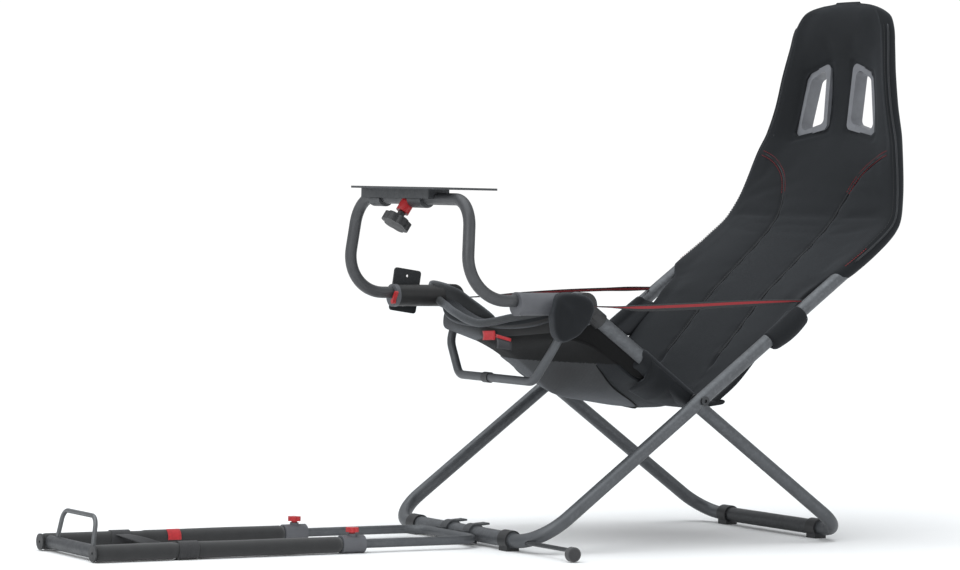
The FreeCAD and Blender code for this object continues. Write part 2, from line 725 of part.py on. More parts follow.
knob_screw = cylinder("knob_screw", 4, 26, KNOB_FOOT + KNOB_HEADING * 15, KNOB_HEADING)
knob_stem = cylinder("knob_stem", 7, 12, KNOB_FOOT + KNOB_HEADING * 31, KNOB_HEADING)
knob, sketch = new_body("knob_disc_body", "XY_Plane")
LOBES = 6
rim = size("knob_disc") / 2
for lobe in range(LOBES):
    here = 2 * math.pi * lobe / LOBES
    half = math.pi / LOBES
    start = Vector((rim - 4) * math.cos(here - half), (rim - 4) * math.sin(here - half), 0)
    middle = Vector(rim * math.cos(here), rim * math.sin(here), 0)
    end = Vector((rim - 4) * math.cos(here + half), (rim - 4) * math.sin(here + half), 0)
    sketch.addGeometry(Part.Arc(start, middle, end), False)
pad_sketch(knob, sketch, "Sizes.knob_thick")
knob_middle = KNOB_FOOT + KNOB_HEADING * (43 + size("knob_thick") / 2)
knob.Placement = Placement(knob_middle, Rotation(Z_AXIS, KNOB_HEADING))
keep(fuse("clamp_knob", [knob_screw, knob_stem, knob]), "clamp_knob")

# ---------------------------------------------------------------- pedal frame

PEDAL_Z = size("pedal_height")
PEDAL_WIDE = size("pedal_half_width")
LINK_Y = FRONT_BAR_Y - size("bar_tube") / 2 - size("pedal_inner") / 2 - 6
front = -940
u_points = [
    Vector(PEDAL_WIDE, front, PEDAL_Z),
    Vector(PEDAL_WIDE, LINK_Y, PEDAL_Z),
    Vector(-PEDAL_WIDE, LINK_Y, PEDAL_Z),
    Vector(-PEDAL_WIDE, front, PEDAL_Z),
]
keep(bent_tube("pedal_inner_frame", u_points, [40, 40], "pedal_inner", "pedal_wall"), "pedal_inner_frame")


def pedal_hook(word, side):
    """A flat hook that is welded on the cross tube and snaps over the front floor bar."""
    label = f"pedal_hook_{word}"
    start = Vector(side * 40 - size("hook_width") / 2, FRONT_BAR_Y, BAR_Z)
    inner = "Sizes.bar_tube / 2 + Sizes.running_gap"
    outer = inner + " + Sizes.hook_thick"
    ring = ring_around(label + "_ring", outer, inner, "Sizes.hook_width", start, X_AXIS)
    wide = size("hook_width")
    open_side = box(label + "_open", start + Vector(-1, 1, -40), start + Vector(wide + 1, 40, 9))
    reach = size("bar_tube") / 2 + size("hook_thick") + GAP
    low = start + Vector(0, -reach - 8, -size("bar_height") + 6)
    root = box(label + "_root", low, Vector(low.x + wide, start.y - reach + 2.5, PEDAL_Z + 9.5))
    lip_low = start + Vector(0, 4, reach - size("hook_thick"))
    lip = box(label + "_lip", lip_low, lip_low + Vector(wide, 24, size("hook_thick") - 0.6))
    lip.Placement = Placement(lip_low, Rotation(X_AXIS, 4))
    tube_start = Vector(start.x - 20, LINK_Y, PEDAL_Z)
    tube = cylinder(label + "_tube", "Sizes.pedal_inner / 2", 60, tube_start, X_AXIS)
    bar = cylinder(label + "_bar", inner, 60, start - Vector(20, 0, 0), X_AXIS)
    hook = fuse(label + "_blank", [cut(label + "_jaw", ring, open_side), root, lip])
    return cut(label, hook, fuse(label + "_clear", [tube, bar]))


def pedal_side(word, side):
    """One telescoping side: steel tube, foam sleeve, lock collar, end plug and lock knob."""
    wide = side * PEDAL_WIDE
    back = -size("pedal_collar_front")
    long = size("pedal_front") - size("pedal_collar_front")
    start = Vector(wide, back, PEDAL_Z)
    bore = "Sizes.pedal_inner / 2 + Sizes.running_gap"
    steel = f"pedal_tube_{word}"
    keep(ring_around(steel, "Sizes.pedal_outer / 2", bore, long, start, -Y_AXIS), steel)
    sleeve = f"pedal_sleeve_{word}"
    skin = "Sizes.pedal_sleeve / 2"
    keep(ring_around(sleeve, skin, "Sizes.pedal_outer / 2", long, start, -Y_AXIS), sleeve)
    plug = f"pedal_plug_{word}"
    front_end = Vector(wide, -size("pedal_front"), PEDAL_Z)
    cap = cylinder(plug + "_cap", "Sizes.pedal_sleeve / 2 - 0.6", 3, front_end, -Y_AXIS)
    stub = cylinder(plug + "_stub", "Sizes.pedal_inner / 2", 14, front_end, Y_AXIS)
    dimple = cylinder(plug + "_dimple", 2.4, 12, front_end - Vector(0, 3, 0), Y_AXIS)
    pedal_plugs.append(cut(plug, fuse(plug + "_blank", [cap, stub]), dimple))
    collar = f"lock_collar_{word}"
    collar_long = size("pedal_collar_front") - size("pedal_collar_back")
    collar_start = Vector(wide, -size("pedal_collar_back"), PEDAL_Z)
    skin = cylinder(collar + "_skin", "Sizes.pedal_collar / 2", collar_long, collar_start, -Y_AXIS)
    boss_spot = Vector(wide, -size("pedal_collar_back") - 22, PEDAL_Z)
    boss = cylinder(collar + "_boss", 8, 19, boss_spot, Z_AXIS)
    hole = cylinder(collar + "_hole", bore, collar_long, collar_start, -Y_AXIS)
    drill = cylinder(collar + "_drill", "3 + Sizes.running_gap", 30, boss_spot, Z_AXIS)
    blank = fuse(collar + "_blank", [skin, boss])
    keep(cut(collar, cut(collar + "_bored", blank, hole), drill), collar)
    knob = f"lock_knob_{word}"
    stem = cylinder(knob + "_stem", 3, 14, boss_spot + Vector(0, 0, 8.4), Z_AXIS)
    neck = cylinder(knob + "_neck", 5.5, 4, boss_spot + Vector(0, 0, 19.3), Z_AXIS)
    head = cylinder(knob + "_head", "Sizes.lock_head / 2", 8, boss_spot + Vector(0, 0, 22), Z_AXIS)
    scallops = []
    for turn in range(6):
        angle = math.radians(60 * turn)
        away = Vector(math.cos(angle), math.sin(angle), 0) * 14.5
        spot = boss_spot + away + Vector(0, 0, 20)
        scallops.append(cylinder(f"{knob}_scallop_{turn}", 4.5, 12, spot, Z_AXIS))
    grip = cut(knob + "_grip", head, fuse(knob + "_scallops", scallops))
    keep(fuse(knob, [stem, neck, grip]), knob)


pedal_hooks = []
pedal_plugs = []
for word, side in SIDES:
    pedal_hooks.append(pedal_hook(word, side))
    pedal_side(word, side)
keep(group("pedal_hooks", pedal_hooks), "pedal_hooks")
keep(group("pedal_plugs", pedal_plugs), "pedal_plugs")

# End bar between the two sleeves, coped to their round sides, with the wire stop loop on top.
END_Y = -size("pedal_front") + size("end_bar") / 2 + 2
bar_start = Vector(-PEDAL_WIDE, END_Y, PEDAL_Z)
bar_blank = cylinder("end_bar_blank", "Sizes.end_bar / 2", 2 * PEDAL_WIDE, bar_start, X_AXIS)
copes = []
for word, side in SIDES:
    start = Vector(side * PEDAL_WIDE, END_Y - 60, PEDAL_Z)
    copes.append(cylinder(f"end_bar_cope_{word}", "Sizes.pedal_sleeve / 2 + 0.02", 120, start, Y_AXIS))
keep(cut("pedal_end_bar", bar_blank, fuse("end_bar_copes", copes)), "pedal_end_bar")
LOOP_TOP = PEDAL_Z + size("loop_top") - size("bar_height") + 4
loop_points = [
    Vector(74, END_Y, PEDAL_Z),
    Vector(66, END_Y + 10, LOOP_TOP),
    Vector(-66, END_Y + 10, LOOP_TOP),
    Vector(-74, END_Y, PEDAL_Z),
]
loop_path = path_object("loop_path", loop_points, [20, 20])
loop_raw = swept_rod("loop_raw", loop_path, "Sizes.loop_rod / 2")
trim_start = Vector(-120, END_Y, PEDAL_Z)
loop_trim = cylinder("loop_trim", "Sizes.end_bar / 2 + 0.02", 240, trim_start, X_AXIS)
keep(cut("pedal_stop_loop", loop_raw, loop_trim), "pedal_stop_loop")

# Webbing that wraps both sleeves and crosses the gap to hold the pedals.
STRAP_Y = -966
strap_half = size("strap_wide") / 2
wraps = []
for word, side in SIDES:
    start = Vector(side * PEDAL_WIDE, STRAP_Y - strap_half, PEDAL_Z)
    inner = "Sizes.pedal_sleeve / 2 + 0.05"
    outer = inner + " + 0.9"
    wraps.append(ring_around(f"strap_wrap_{word}", outer, inner, "Sizes.strap_wide", start, Y_AXIS))
low = Vector(-PEDAL_WIDE + 12, STRAP_Y - strap_half, PEDAL_Z + 8.6)
band = box("strap_band", low, low + Vector(2 * PEDAL_WIDE - 24, 2 * strap_half, 1.8))
strap_blank = fuse("strap_blank", wraps + [band])
strap_clear = []
for word, side in SIDES:
    start = Vector(side * PEDAL_WIDE, STRAP_Y - 60, PEDAL_Z)
    strap_clear.append(cylinder(f"strap_clear_{word}", "Sizes.pedal_sleeve / 2 + 0.05", 120, start, Y_AXIS))
keep(cut("pedal_strap", strap_blank, fuse("strap_clears", strap_clear)), "pedal_strap")

# ---------------------------------------------------------------- fabric sling


def side_band(label, front_line, back_line, length):
    """A soft body: the area between a front line and a back line in the side view, as wide as length."""
    front_edge = smooth([Vector(0, y, z) for y, z in front_line])
    back_edge = smooth([Vector(0, y, z) for y, z in back_line])
    first = Part.LineSegment(Vector(0, *front_line[-1]), Vector(0, *back_line[0])).toShape()
    last = Part.LineSegment(Vector(0, *back_line[-1]), Vector(0, *front_line[0])).toShape()
    return extruded(label, [front_edge, first, back_edge, last], X_AXIS, length)


# Backrest centre line with half thicknesses: thin sling below, padded head above.
BACK_LINE = [
    (104, 268, 9),
    (146, 308, 9),
    (204, 374, 10),
    (275, 455, 13),
    (345, 520, 15),
    (386, 558, 16),
    (430, 604, 16),
    (460, 664, 17),
    (487, 734, 16),
    (508, 810, 16),
    (514, 900, 17),
    (515, 1036, 17),
]


def offset_line(line, way):
    """The line moved square to itself by its own half thickness: way +1 is the occupant's back."""
    moved = []
    for index, (y, z, half) in enumerate(line):
        before = line[max(index - 1, 0)]
        after = line[min(index + 1, len(line) - 1)]
        along = unit(Vector(0, after[0] - before[0], after[1] - before[1]))
        moved.append((y + along.z * half * way, z - along.y * half * way))
    return moved


front_line = offset_line(BACK_LINE, -1)
back_line = list(reversed(offset_line(BACK_LINE, 1)))
back_band = side_band("backrest_band", front_line, back_line, "2 * Sizes.wing_half_width")
WING = size("wing_half_width")
SLING = size("sling_half_width")
right_edge = [
    Vector(SLING, 400, 240),
    Vector(SLING, 400, 360),
    Vector(SLING + 45, 400, 470),
    Vector(WING, 400, 505),
    Vector(WING, 400, 600),
    Vector(256, 400, 670),
    Vector(216, 400, 762),
    Vector(172, 400, 885),
    Vector(146, 400, 980),
    Vector(112, 400, 1024),
    Vector(70, 400, 1044),
]
outline_points = right_edge + [mirrored(point) for point in reversed(right_edge)]
front_prism = extruded("backrest_front", polygon(outline_points), Y_AXIS, 1200)
pad_blank = common("backrest_blank", [back_band, front_prism])
hoop_path = path_object("hoop_clear_path", hoop_points, hoop_bends)
hoop_clear = swept_rod("hoop_clear", hoop_path, "Sizes.hoop_tube / 2 + Sizes.cloth_gap")
leg_clears = []
for word, side in SIDES:
    start = on_back(side * BACK_WIDE, 300)
    radius = "Sizes.frame_tube / 2 + Sizes.cloth_gap"
    leg_clears.append(cylinder(f"wing_clear_{word}", radius, 182, start, BACK_HEADING))

BEZEL_TILT = 5
BEZEL_Y = 511
BEZEL_QUAD = [(36, 915), (108, 893), (131, 765), (32, 783)]
BEZEL_ROUND = 12


def bezel_outline(side, shrink):
    """Rounded four-sided outline of a harness opening, drawn in the plane y = 0."""
    middle_x = sum(x for x, z in BEZEL_QUAD) / 4
    middle_z = sum(z for x, z in BEZEL_QUAD) / 4
    corners = []
    for x, z in BEZEL_QUAD:
        inward_x = shrink if x < middle_x else -shrink
        inward_z = shrink if z < middle_z else -shrink
        corners.append(Vector(side * (x + inward_x), 0, z + inward_z))
    start = (corners[0] + corners[-1]) * 0.5
    loop = [start] + corners + [start]
    return rounded_wire(loop, [BEZEL_ROUND] * 4).Edges


def bezel_prism(label, side, shrink, length):
    prism = extruded(label, bezel_outline(side, shrink), Y_AXIS, length)
    centre = Vector(side * 77, 0, 840)
    turn = Rotation(X_AXIS, -BEZEL_TILT)
    prism.Placement = Placement(Vector(0, BEZEL_Y, 0) + centre - turn.multVec(centre), turn)
    return prism


bezel_clears = []
for word, side in SIDES:
    outer = bezel_prism(f"bezel_outer_{word}", side, 0, "Sizes.bezel_deep")
    inner = bezel_prism(f"bezel_inner_{word}", side, size("bezel_rim"), 100)
    keep(cut(f"harness_bezel_{word}", outer, inner), f"harness_bezel_{word}")
    bezel_clears.append(bezel_prism(f"bezel_clear_{word}", side, -CLOTH, 120))
backrest_tools = fuse("backrest_tools", [hoop_clear] + leg_clears + bezel_clears)
keep(cut("backrest_pad", pad_blank, backrest_tools), "backrest_pad")

# Seat pan: the sling falls from the rolled front lip to the crease behind the pivot.
pan_front = [(-244, 404), (-200, 392), (-130, 350), (-50, 306), (10, 280), (68, 268)]
pan_back = [(68, 246), (5, 256), (-80, 290), (-170, 332), (-228, 362), (-246, 384)]
keep(side_band("seat_pan", pan_front, pan_back, "2 * Sizes.pan_half_width"), "seat_pan")
crease_front = [(70, 268), (84, 267), (94, 273)]
crease_back = [(109, 262), (96, 248), (70, 246)]
keep(side_band("seat_crease", crease_front, crease_back, "2 * Sizes.pan_half_width"), "seat_crease")


def cloth_loop(label, start, heading, length):
    """A fabric loop sewn round a leg."""
    inner = "Sizes.frame_tube / 2 + Sizes.running_gap"
    keep(ring_around(label, inner + " + 2.6", inner, length, start, heading), label)


for word, side in SIDES:
    cloth_loop(f"back_loop_{word}", on_back(side * BACK_WIDE, 190), BACK_HEADING, 90)
    cloth_loop(f"seat_loop_{word}", on_seat(side * SEAT_WIDE, 50), SEAT_HEADING, 92)

# Webbing straps from the seat corners to the back legs hold the frames open.
for word, side in SIDES:
    label = f"side_strap_{word}"
    front_end = Vector(side * 250, -212, 452)
    back_end = Vector(side * 259, 216, 461)
    along = back_end - front_end
    strap = doc.addObject("Part::Box", label)
    strap.Length = along.Length
    strap.setExpression("Width", "Sizes.web_thick")
    strap.setExpression("Height", "Sizes.web_wide")
    spread = Rotation(X_AXIS, along)
    centre = Vector(0, -size("web_thick") / 2, -size("web_wide") / 2)
    strap.Placement = Placement(front_end + spread.multVec(centre), spread)
    keep(strap, label)

# ---------------------------------------------------------------- check, place and write

doc.recompute()
for thing in doc.Objects:
    if "Invalid" in thing.State or "Error" in thing.State:
        raise RuntimeError(f"{thing.Label} failed: {thing.State}")

whole = FreeCAD.BoundBox()
for piece in PIECES:
    shape = piece.Shape
    if shape.isNull() or not shape.isValid():
        raise RuntimeError(f"{piece.Label} has no valid shape")
    whole.add(shape.optimalBoundingBox(False, False))
shift = Vector(-whole.Center.x, -whole.Center.y, -whole.ZMin)
print("overall size", round(whole.XLength, 1), round(whole.YLength, 1), round(whole.ZLength, 1))
print("origin shift", shift)

os.makedirs("parts", exist_ok=True)
for piece in PIECES:
    piece.Placement = Placement(shift, Rotation()).multiply(piece.Placement)
doc.recompute()
for piece in PIECES:
    solids = len(piece.Shape.Solids)
    print(piece.Label, "solids", solids, "volume", round(piece.Shape.Volume))
    piece.Shape.exportStep(f"parts/{piece.Label}.step")
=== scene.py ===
"""A folding racing-simulator seat: soft goods, fittings, finishes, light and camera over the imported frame."""
import json
import math
import random

import bmesh
import bpy
import numpy as np
from mathutils import Matrix, Vector


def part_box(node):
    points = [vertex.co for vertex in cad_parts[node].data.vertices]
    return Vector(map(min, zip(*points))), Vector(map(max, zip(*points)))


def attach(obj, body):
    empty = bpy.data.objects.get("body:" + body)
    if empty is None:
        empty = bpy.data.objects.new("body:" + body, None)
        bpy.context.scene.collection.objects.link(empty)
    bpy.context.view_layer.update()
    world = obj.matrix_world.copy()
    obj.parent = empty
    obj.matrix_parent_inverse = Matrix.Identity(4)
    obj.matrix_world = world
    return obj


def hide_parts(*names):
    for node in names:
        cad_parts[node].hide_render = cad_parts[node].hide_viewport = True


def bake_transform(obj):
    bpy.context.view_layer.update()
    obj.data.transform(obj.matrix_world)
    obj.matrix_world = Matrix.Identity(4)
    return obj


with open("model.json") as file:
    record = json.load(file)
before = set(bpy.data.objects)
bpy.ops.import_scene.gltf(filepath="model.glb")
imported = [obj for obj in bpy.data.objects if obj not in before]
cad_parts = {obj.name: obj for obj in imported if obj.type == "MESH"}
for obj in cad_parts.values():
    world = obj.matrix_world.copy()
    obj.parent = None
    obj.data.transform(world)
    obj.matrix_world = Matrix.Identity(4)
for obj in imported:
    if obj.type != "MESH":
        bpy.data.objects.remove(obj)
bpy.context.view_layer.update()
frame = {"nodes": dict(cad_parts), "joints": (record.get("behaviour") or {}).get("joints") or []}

NODES = frame["nodes"]
JOINTS = {joint["name"]: joint for joint in frame["joints"]}
PIVOT_HEIGHT = 0.273
ORIGIN = Vector(JOINTS["frame_fold"]["pos_m"]) - Vector((0, 0, PIVOT_HEIGHT))
HOME = np.array(ORIGIN)
SIDES = (("left", 1), ("right", -1))
BACK_WAY = Vector((0, 0.8054, 0.5927))
SEAT_WAY = Vector((0, -0.8165, 0.5773))
BACK_TUBE_X = 0.262
CLOTH_FRAMES = 20
HEAD_SEAM = 0.733
SCENE = bpy.context.scene


def at(x, y, z):
    """A point given from the fold's pivot line on the floor, in metres."""
    return ORIGIN + Vector((x, y, z))


def stand(name, data):
    """A new object in the scene."""
    thing = bpy.data.objects.new(name, data)
    SCENE.collection.objects.link(thing)
    return thing


def on_back(x, reach):
    """A point that far up the rear leg's axis from the fold's pivot."""
    return at(x, 0, PIVOT_HEIGHT) + BACK_WAY * reach


def on_seat(x, reach):
    return at(x, 0, PIVOT_HEIGHT) + SEAT_WAY * reach


# Camera, floor and light

def make_camera():
    lens = bpy.data.cameras.new("camera")
    lens.lens = 133.1
    lens.sensor_width = 36
    lens.shift_y = 0.0034
    camera = stand("camera", lens)
    place = at(5.583, -3.721, 0.639)
    heading = (at(0, -0.317, 0.468) - place).to_track_quat("-Z", "Y").to_matrix().to_4x4()
    roll = Matrix.Rotation(math.radians(1.273), 4, "Z")
    camera.matrix_world = Matrix.Translation(place) @ heading @ roll
    SCENE.camera = camera


def soft_light(name, place, aim, size, power):
    lamp = bpy.data.lights.new(name, "AREA")
    lamp.shape = "RECTANGLE"
    lamp.size, lamp.size_y = size
    lamp.energy = power
    holder = stand(name, lamp)
    heading = (aim - place).to_track_quat("-Z", "Y").to_matrix().to_4x4()
    holder.matrix_world = Matrix.Translation(place) @ heading


def make_studio():
    world = bpy.data.worlds.new("studio")
    SCENE.world = world
    world.use_nodes = True
    nodes, links = world.node_tree.nodes, world.node_tree.links
    nodes.clear()
    rays = nodes.new("ShaderNodeLightPath")
    mix = nodes.new("ShaderNodeMixShader")
    out = nodes.new("ShaderNodeOutputWorld")
    links.new(rays.outputs["Is Camera Ray"], mix.inputs[0])
    for socket, colour, strength in ((1, (0.96, 0.98, 1.0, 1), 0.63), (2, (1, 1, 1, 1), 1.05)):
        glow = nodes.new("ShaderNodeBackground")
        glow.inputs["Color"].default_value = colour
        glow.inputs["Strength"].default_value = strength
        links.new(glow.outputs[0], mix.inputs[socket])
    links.new(mix.outputs[0], out.inputs[0])
    middle = at(0, -0.2, 0.5)
    sky = bpy.data.lights.new("overhead", "SUN")
    sky.energy = 2.0
    sky.color = (0.94, 0.98, 1.0)
    sky.angle = math.radians(75)
    holder = stand("overhead", sky)
    holder.matrix_world = Matrix.Rotation(math.radians(12), 4, "X")
    soft_light("key", at(1.6, -3.4, 1.9), middle, (2.2, 1.8), 34)
    soft_light("fill", at(3.4, 1.2, 1.5), middle, (2.0, 1.6), 10)
    SCENE.view_settings.view_transform = "Standard"


def make_floor():
    mesh = bpy.data.meshes.new("floor")
    half = 14
    corners = [at(x * half, y * half, 0) for x, y in ((-1, -1), (1, -1), (1, 1), (-1, 1))]
    mesh.from_pydata(corners, [], [(0, 1, 2, 3)])
    mesh.materials.append(PAPER)
    floor = stand("floor", mesh)


# Materials

class Finish:
    """A material whose nodes are added and linked by call."""

    def __init__(self, name, roughness=0.5, metallic=0.0, specular=0.5):
        self.material = bpy.data.materials.new(name)
        self.material.use_nodes = True
        self.tree = self.material.node_tree
        self.shader = self.tree.nodes["Principled BSDF"]
        self.put(self.shader, {"Roughness": roughness, "Metallic": metallic, "Specular IOR Level": specular})

    def put(self, node, inputs):
        for key, value in inputs.items():
            if isinstance(value, bpy.types.NodeSocket):
                self.tree.links.new(value, node.inputs[key])
            else:
                node.inputs[key].default_value = value

    def add(self, kind, inputs=None, **settings):
        node = self.tree.nodes.new("ShaderNode" + kind)
        for key, value in settings.items():
            setattr(node, key, value)
        self.put(node, inputs or {})
        return node

    def place(self):
        """The point on the object, in metres."""
        return self.add("TexCoord").outputs["Object"]

    def flat(self):
        """The point on the unrolled cloth, in metres, as two numbers."""
        split = self.add("SeparateXYZ", {"Vector": self.add("TexCoord").outputs["UV"]})
        return split.outputs["X"], split.outputs["Y"]

    def math(self, kind, first, second=0.0):
        return self.add("Math", {0: first, 1: second}, operation=kind).outputs[0]

    def noise(self, scale, detail=3.0, where=None, roughness=0.55):
        inputs = {"Vector": where or self.place(), "Scale": scale, "Detail": detail, "Roughness": roughness}
        return self.add("TexNoise", inputs).outputs["Fac"]

    def ramp(self, value, low, high, to_low=0.0, to_high=1.0):
        inputs = {"Value": value, "From Min": low, "From Max": high, "To Min": to_low, "To Max": to_high}
        return self.add("MapRange", inputs).outputs["Result"]

    def mix(self, share, first, second):
        ends = [end if isinstance(end, bpy.types.NodeSocket) else (*end, 1) for end in (first, second)]
        return self.add("Mix", {0: share, 6: ends[0], 7: ends[1]}, data_type="RGBA").outputs[2]

    def colour(self, value):
        self.put(self.shader, {"Base Color": value})

    def gloss(self, scale, low, high, glossy, matt):
        """Roughness that wanders between two values."""
        self.put(self.shader, {"Roughness": self.ramp(self.noise(scale, 3), low, high, glossy, matt)})

    def bump(self, height, depth, strength=1.0):
        inputs = {"Height": height, "Distance": depth, "Strength": strength}
        links = self.shader.inputs["Normal"].links
        if links:
            inputs["Normal"] = links[0].from_socket
        self.put(self.shader, {"Normal": self.add("Bump", inputs).outputs["Normal"]})


def tint(colour, factor):
    return tuple(channel * factor for channel in colour)


def coated_metal(name, colour, roughness=0.42, metallic=0.35):
    """Powder-coated steel: fine orange peel, faint mottling, and slightly rubbed high spots."""
    made = Finish(name, roughness, metallic)
    mottle = made.noise(38, 4)
    base = made.mix(made.ramp(mottle, 0.3, 0.7), tint(colour, 0.9), tint(colour, 1.1))
    sharp = made.ramp(made.add("NewGeometry").outputs["Pointiness"], 0.53, 0.6)
    rubbed = made.math("MULTIPLY", sharp, made.ramp(made.noise(160, 3), 0.45, 0.7))
    made.colour(made.mix(made.math("MULTIPLY", rubbed, 0.5), base, tint(colour, 1.7)))
    made.gloss(75, 0.3, 0.7, roughness - 0.06, roughness + 0.07)
    made.bump(made.noise(1500, 2), 0.00012, 0.5)
    return made.material


def moulded_plastic(name, colour, roughness=0.5):
    """Moulded plastic with a spark-eroded grain and slight sheen changes from handling."""
    made = Finish(name, roughness)
    made.colour(made.mix(made.ramp(made.noise(60, 3), 0.3, 0.7), tint(colour, 0.92), tint(colour, 1.08)))
    made.gloss(45, 0.35, 0.65, roughness - 0.07, roughness + 0.07)
    made.bump(made.noise(2600, 2), 0.00008, 0.45)
    return made.material


def bright_steel(name, colour):
    """Zinc-plated steel with fine turning marks and cloudy patches."""
    made = Finish(name, 0.32, 1.0)
    made.colour(made.mix(made.ramp(made.noise(90, 4), 0.3, 0.7), tint(colour, 0.82), colour))
    made.gloss(140, 0.3, 0.7, 0.24, 0.42)
    made.bump(made.noise(3000, 2), 0.00005, 0.4)
    return made.material


def rubbery(name, colour, pits=1400, depth=0.0003):
    """Closed-cell foam or rubber: matt, with fine pits and lighter scuffs."""
    made = Finish(name, 0.88, specular=0.3)
    cells = made.add("TexVoronoi", {"Vector": made.place(), "Scale": pits}).outputs["Distance"]
    base = made.mix(made.ramp(made.noise(55, 4), 0.35, 0.7), tint(colour, 0.88), tint(colour, 1.14))
    made.colour(made.mix(made.ramp(cells, 0.0, 0.5), tint(colour, 0.7), base))
    made.put(made.shader, {"Sheen Weight": 0.25, "Sheen Roughness": 0.6})
    made.bump(cells, depth, 0.5)
    made.bump(made.noise(130, 3), 0.0004, 0.3)
    return made.material


def woven(name, colour, cell=0.0013, roughness=0.82, depth=0.00022, sheen=0.25, creases=0.0012):
    """Plain-woven polyester: crossing threads, uneven yarn, soft sheen and shallow creases."""
    made = Finish(name, roughness, specular=0.25)
    u, v = made.flat()
    turns = math.pi / cell
    across = made.math("SINE", made.math("MULTIPLY", u, turns))
    along = made.math("SINE", made.math("MULTIPLY", v, turns))
    threads = made.math("MULTIPLY", across, along)
    yarn = made.noise(700, 2)
    shade = made.mix(made.ramp(made.noise(7, 4), 0.32, 0.68), tint(colour, 0.91), tint(colour, 1.09))
    flecked = made.mix(made.ramp(yarn, 0.35, 0.75), tint(colour, 0.84), shade)
    made.colour(made.mix(made.ramp(threads, -1, 1, 0.0, 0.3), flecked, tint(colour, 1.32)))
    sky_blue = (0.8, 0.86, 0.95, 1)
    made.put(made.shader, {"Sheen Weight": sheen, "Sheen Roughness": 0.45, "Sheen Tint": sky_blue})
    made.bump(made.noise(20, 4, roughness=0.6), creases, 0.35)
    made.bump(threads, depth, 0.5)
    made.bump(yarn, 0.00012, 0.4)
    return made.material


def ribbed_webbing(name, colour, stripe=None, stripe_from=0.0, stripe_to=0.0):
    """Narrow webbing: herringbone ribs across the width, with a woven stripe where one is given."""
    made = Finish(name, 0.68, specular=0.4)
    u, v = made.flat()
    run = made.math("MULTIPLY", v, 2600)
    zigzag = made.math("PINGPONG", made.math("MULTIPLY", u, 2200), 4)
    ribs = made.math("SINE", made.math("ADD", run, zigzag))
    base = made.mix(made.ramp(made.noise(260, 3), 0.3, 0.7), tint(colour, 0.82), tint(colour, 1.15))
    if stripe:
        past, short = made.math("GREATER_THAN", u, stripe_from), made.math("LESS_THAN", u, stripe_to)
        inside = made.math("MULTIPLY", past, short)
        base = made.mix(inside, base, stripe)
    made.colour(made.mix(made.ramp(ribs, -1, 1, 0.0, 0.22), base, tint(colour, 1.6)))
    made.put(made.shader, {"Sheen Weight": 0.15, "Sheen Roughness": 0.5})
    made.bump(ribs, 0.00025, 0.6)
    return made.material


def paper_floor():
    made = Finish("paper_floor", 0.9, specular=0.05)
    made.colour(made.mix(made.ramp(made.noise(3, 2), 0.3, 0.7), (0.9, 0.9, 0.9), (0.92, 0.92, 0.92)))
    return made.material


PAPER = paper_floor()
FINISHES = {
    "frame_metal": coated_metal("charcoal_coat", (0.085, 0.09, 0.097)),
    "plate_metal": coated_metal("black_coat", (0.05, 0.053, 0.057), 0.5, 0.2),
    "loop_metal": coated_metal("loop_coat", (0.11, 0.115, 0.12), 0.36, 0.5),
    "steel": bright_steel("zinc_steel", (0.62, 0.63, 0.65)),
    "black_plastic": moulded_plastic("black_moulding", (0.018, 0.0185, 0.02), 0.48),
    "grey_plastic": moulded_plastic("grey_moulding", (0.092, 0.095, 0.105), 0.5),
    "red_plastic": moulded_plastic("red_moulding", (0.42, 0.018, 0.022), 0.4),
    "foam_sleeve": rubbery("closed_foam", (0.016, 0.0164, 0.0172)),
    "foot_rubber": rubbery("foot_rubber", (0.035, 0.035, 0.037), 900, 0.0002),
    "black_fabric": woven("sling_cloth", (0.0068, 0.008, 0.0098), sheen=0.1),
    "webbing": ribbed_webbing("black_webbing", (0.022, 0.022, 0.024)),
}
CLOTH = FINISHES["black_fabric"]
UNDERSIDE = woven("backing_cloth", (0.022, 0.0215, 0.0213), 0.0021, 0.86, 0.0003)
# Near-black cloth: painted shade on the side flaps and on a band under the seat, and also the under panel's hem
# cord.
SHADE_AND_HEM_CLOTH = woven("flap_cloth", (0.003, 0.003, 0.0032), 0.0016, 0.86, 0.0003, 0.02)
# Lighter cloth whose colour is a painted highlight, on the rolled front lip and on the far corner cover.
HIGHLIGHT_CLOTH = woven("painted_highlight_cloth", (0.037, 0.039, 0.041), 0.0011, 0.62, 0.0002, 0.25)
PIPING = woven("piping_cloth", (0.02, 0.021, 0.0225), 0.001, 0.7, 0.0001, 0.3, 0.0)
RED_THREAD = moulded_plastic("red_thread", (0.3, 0.014, 0.02), 0.6)
DARK_THREAD = moulded_plastic("dark_thread", (0.022, 0.023, 0.025), 0.6)
STRIPED = ribbed_webbing("striped_webbing", (0.02, 0.02, 0.022), (0.3, 0.012, 0.018), 0.0015, 0.0055)
RED_TAPE = ribbed_webbing("red_tape", (0.4, 0.014, 0.02))
SATIN_TAG = woven("satin_tag", (0.03, 0.03, 0.033), 0.0008, 0.4, 0.0001, 0.1, 0.0)


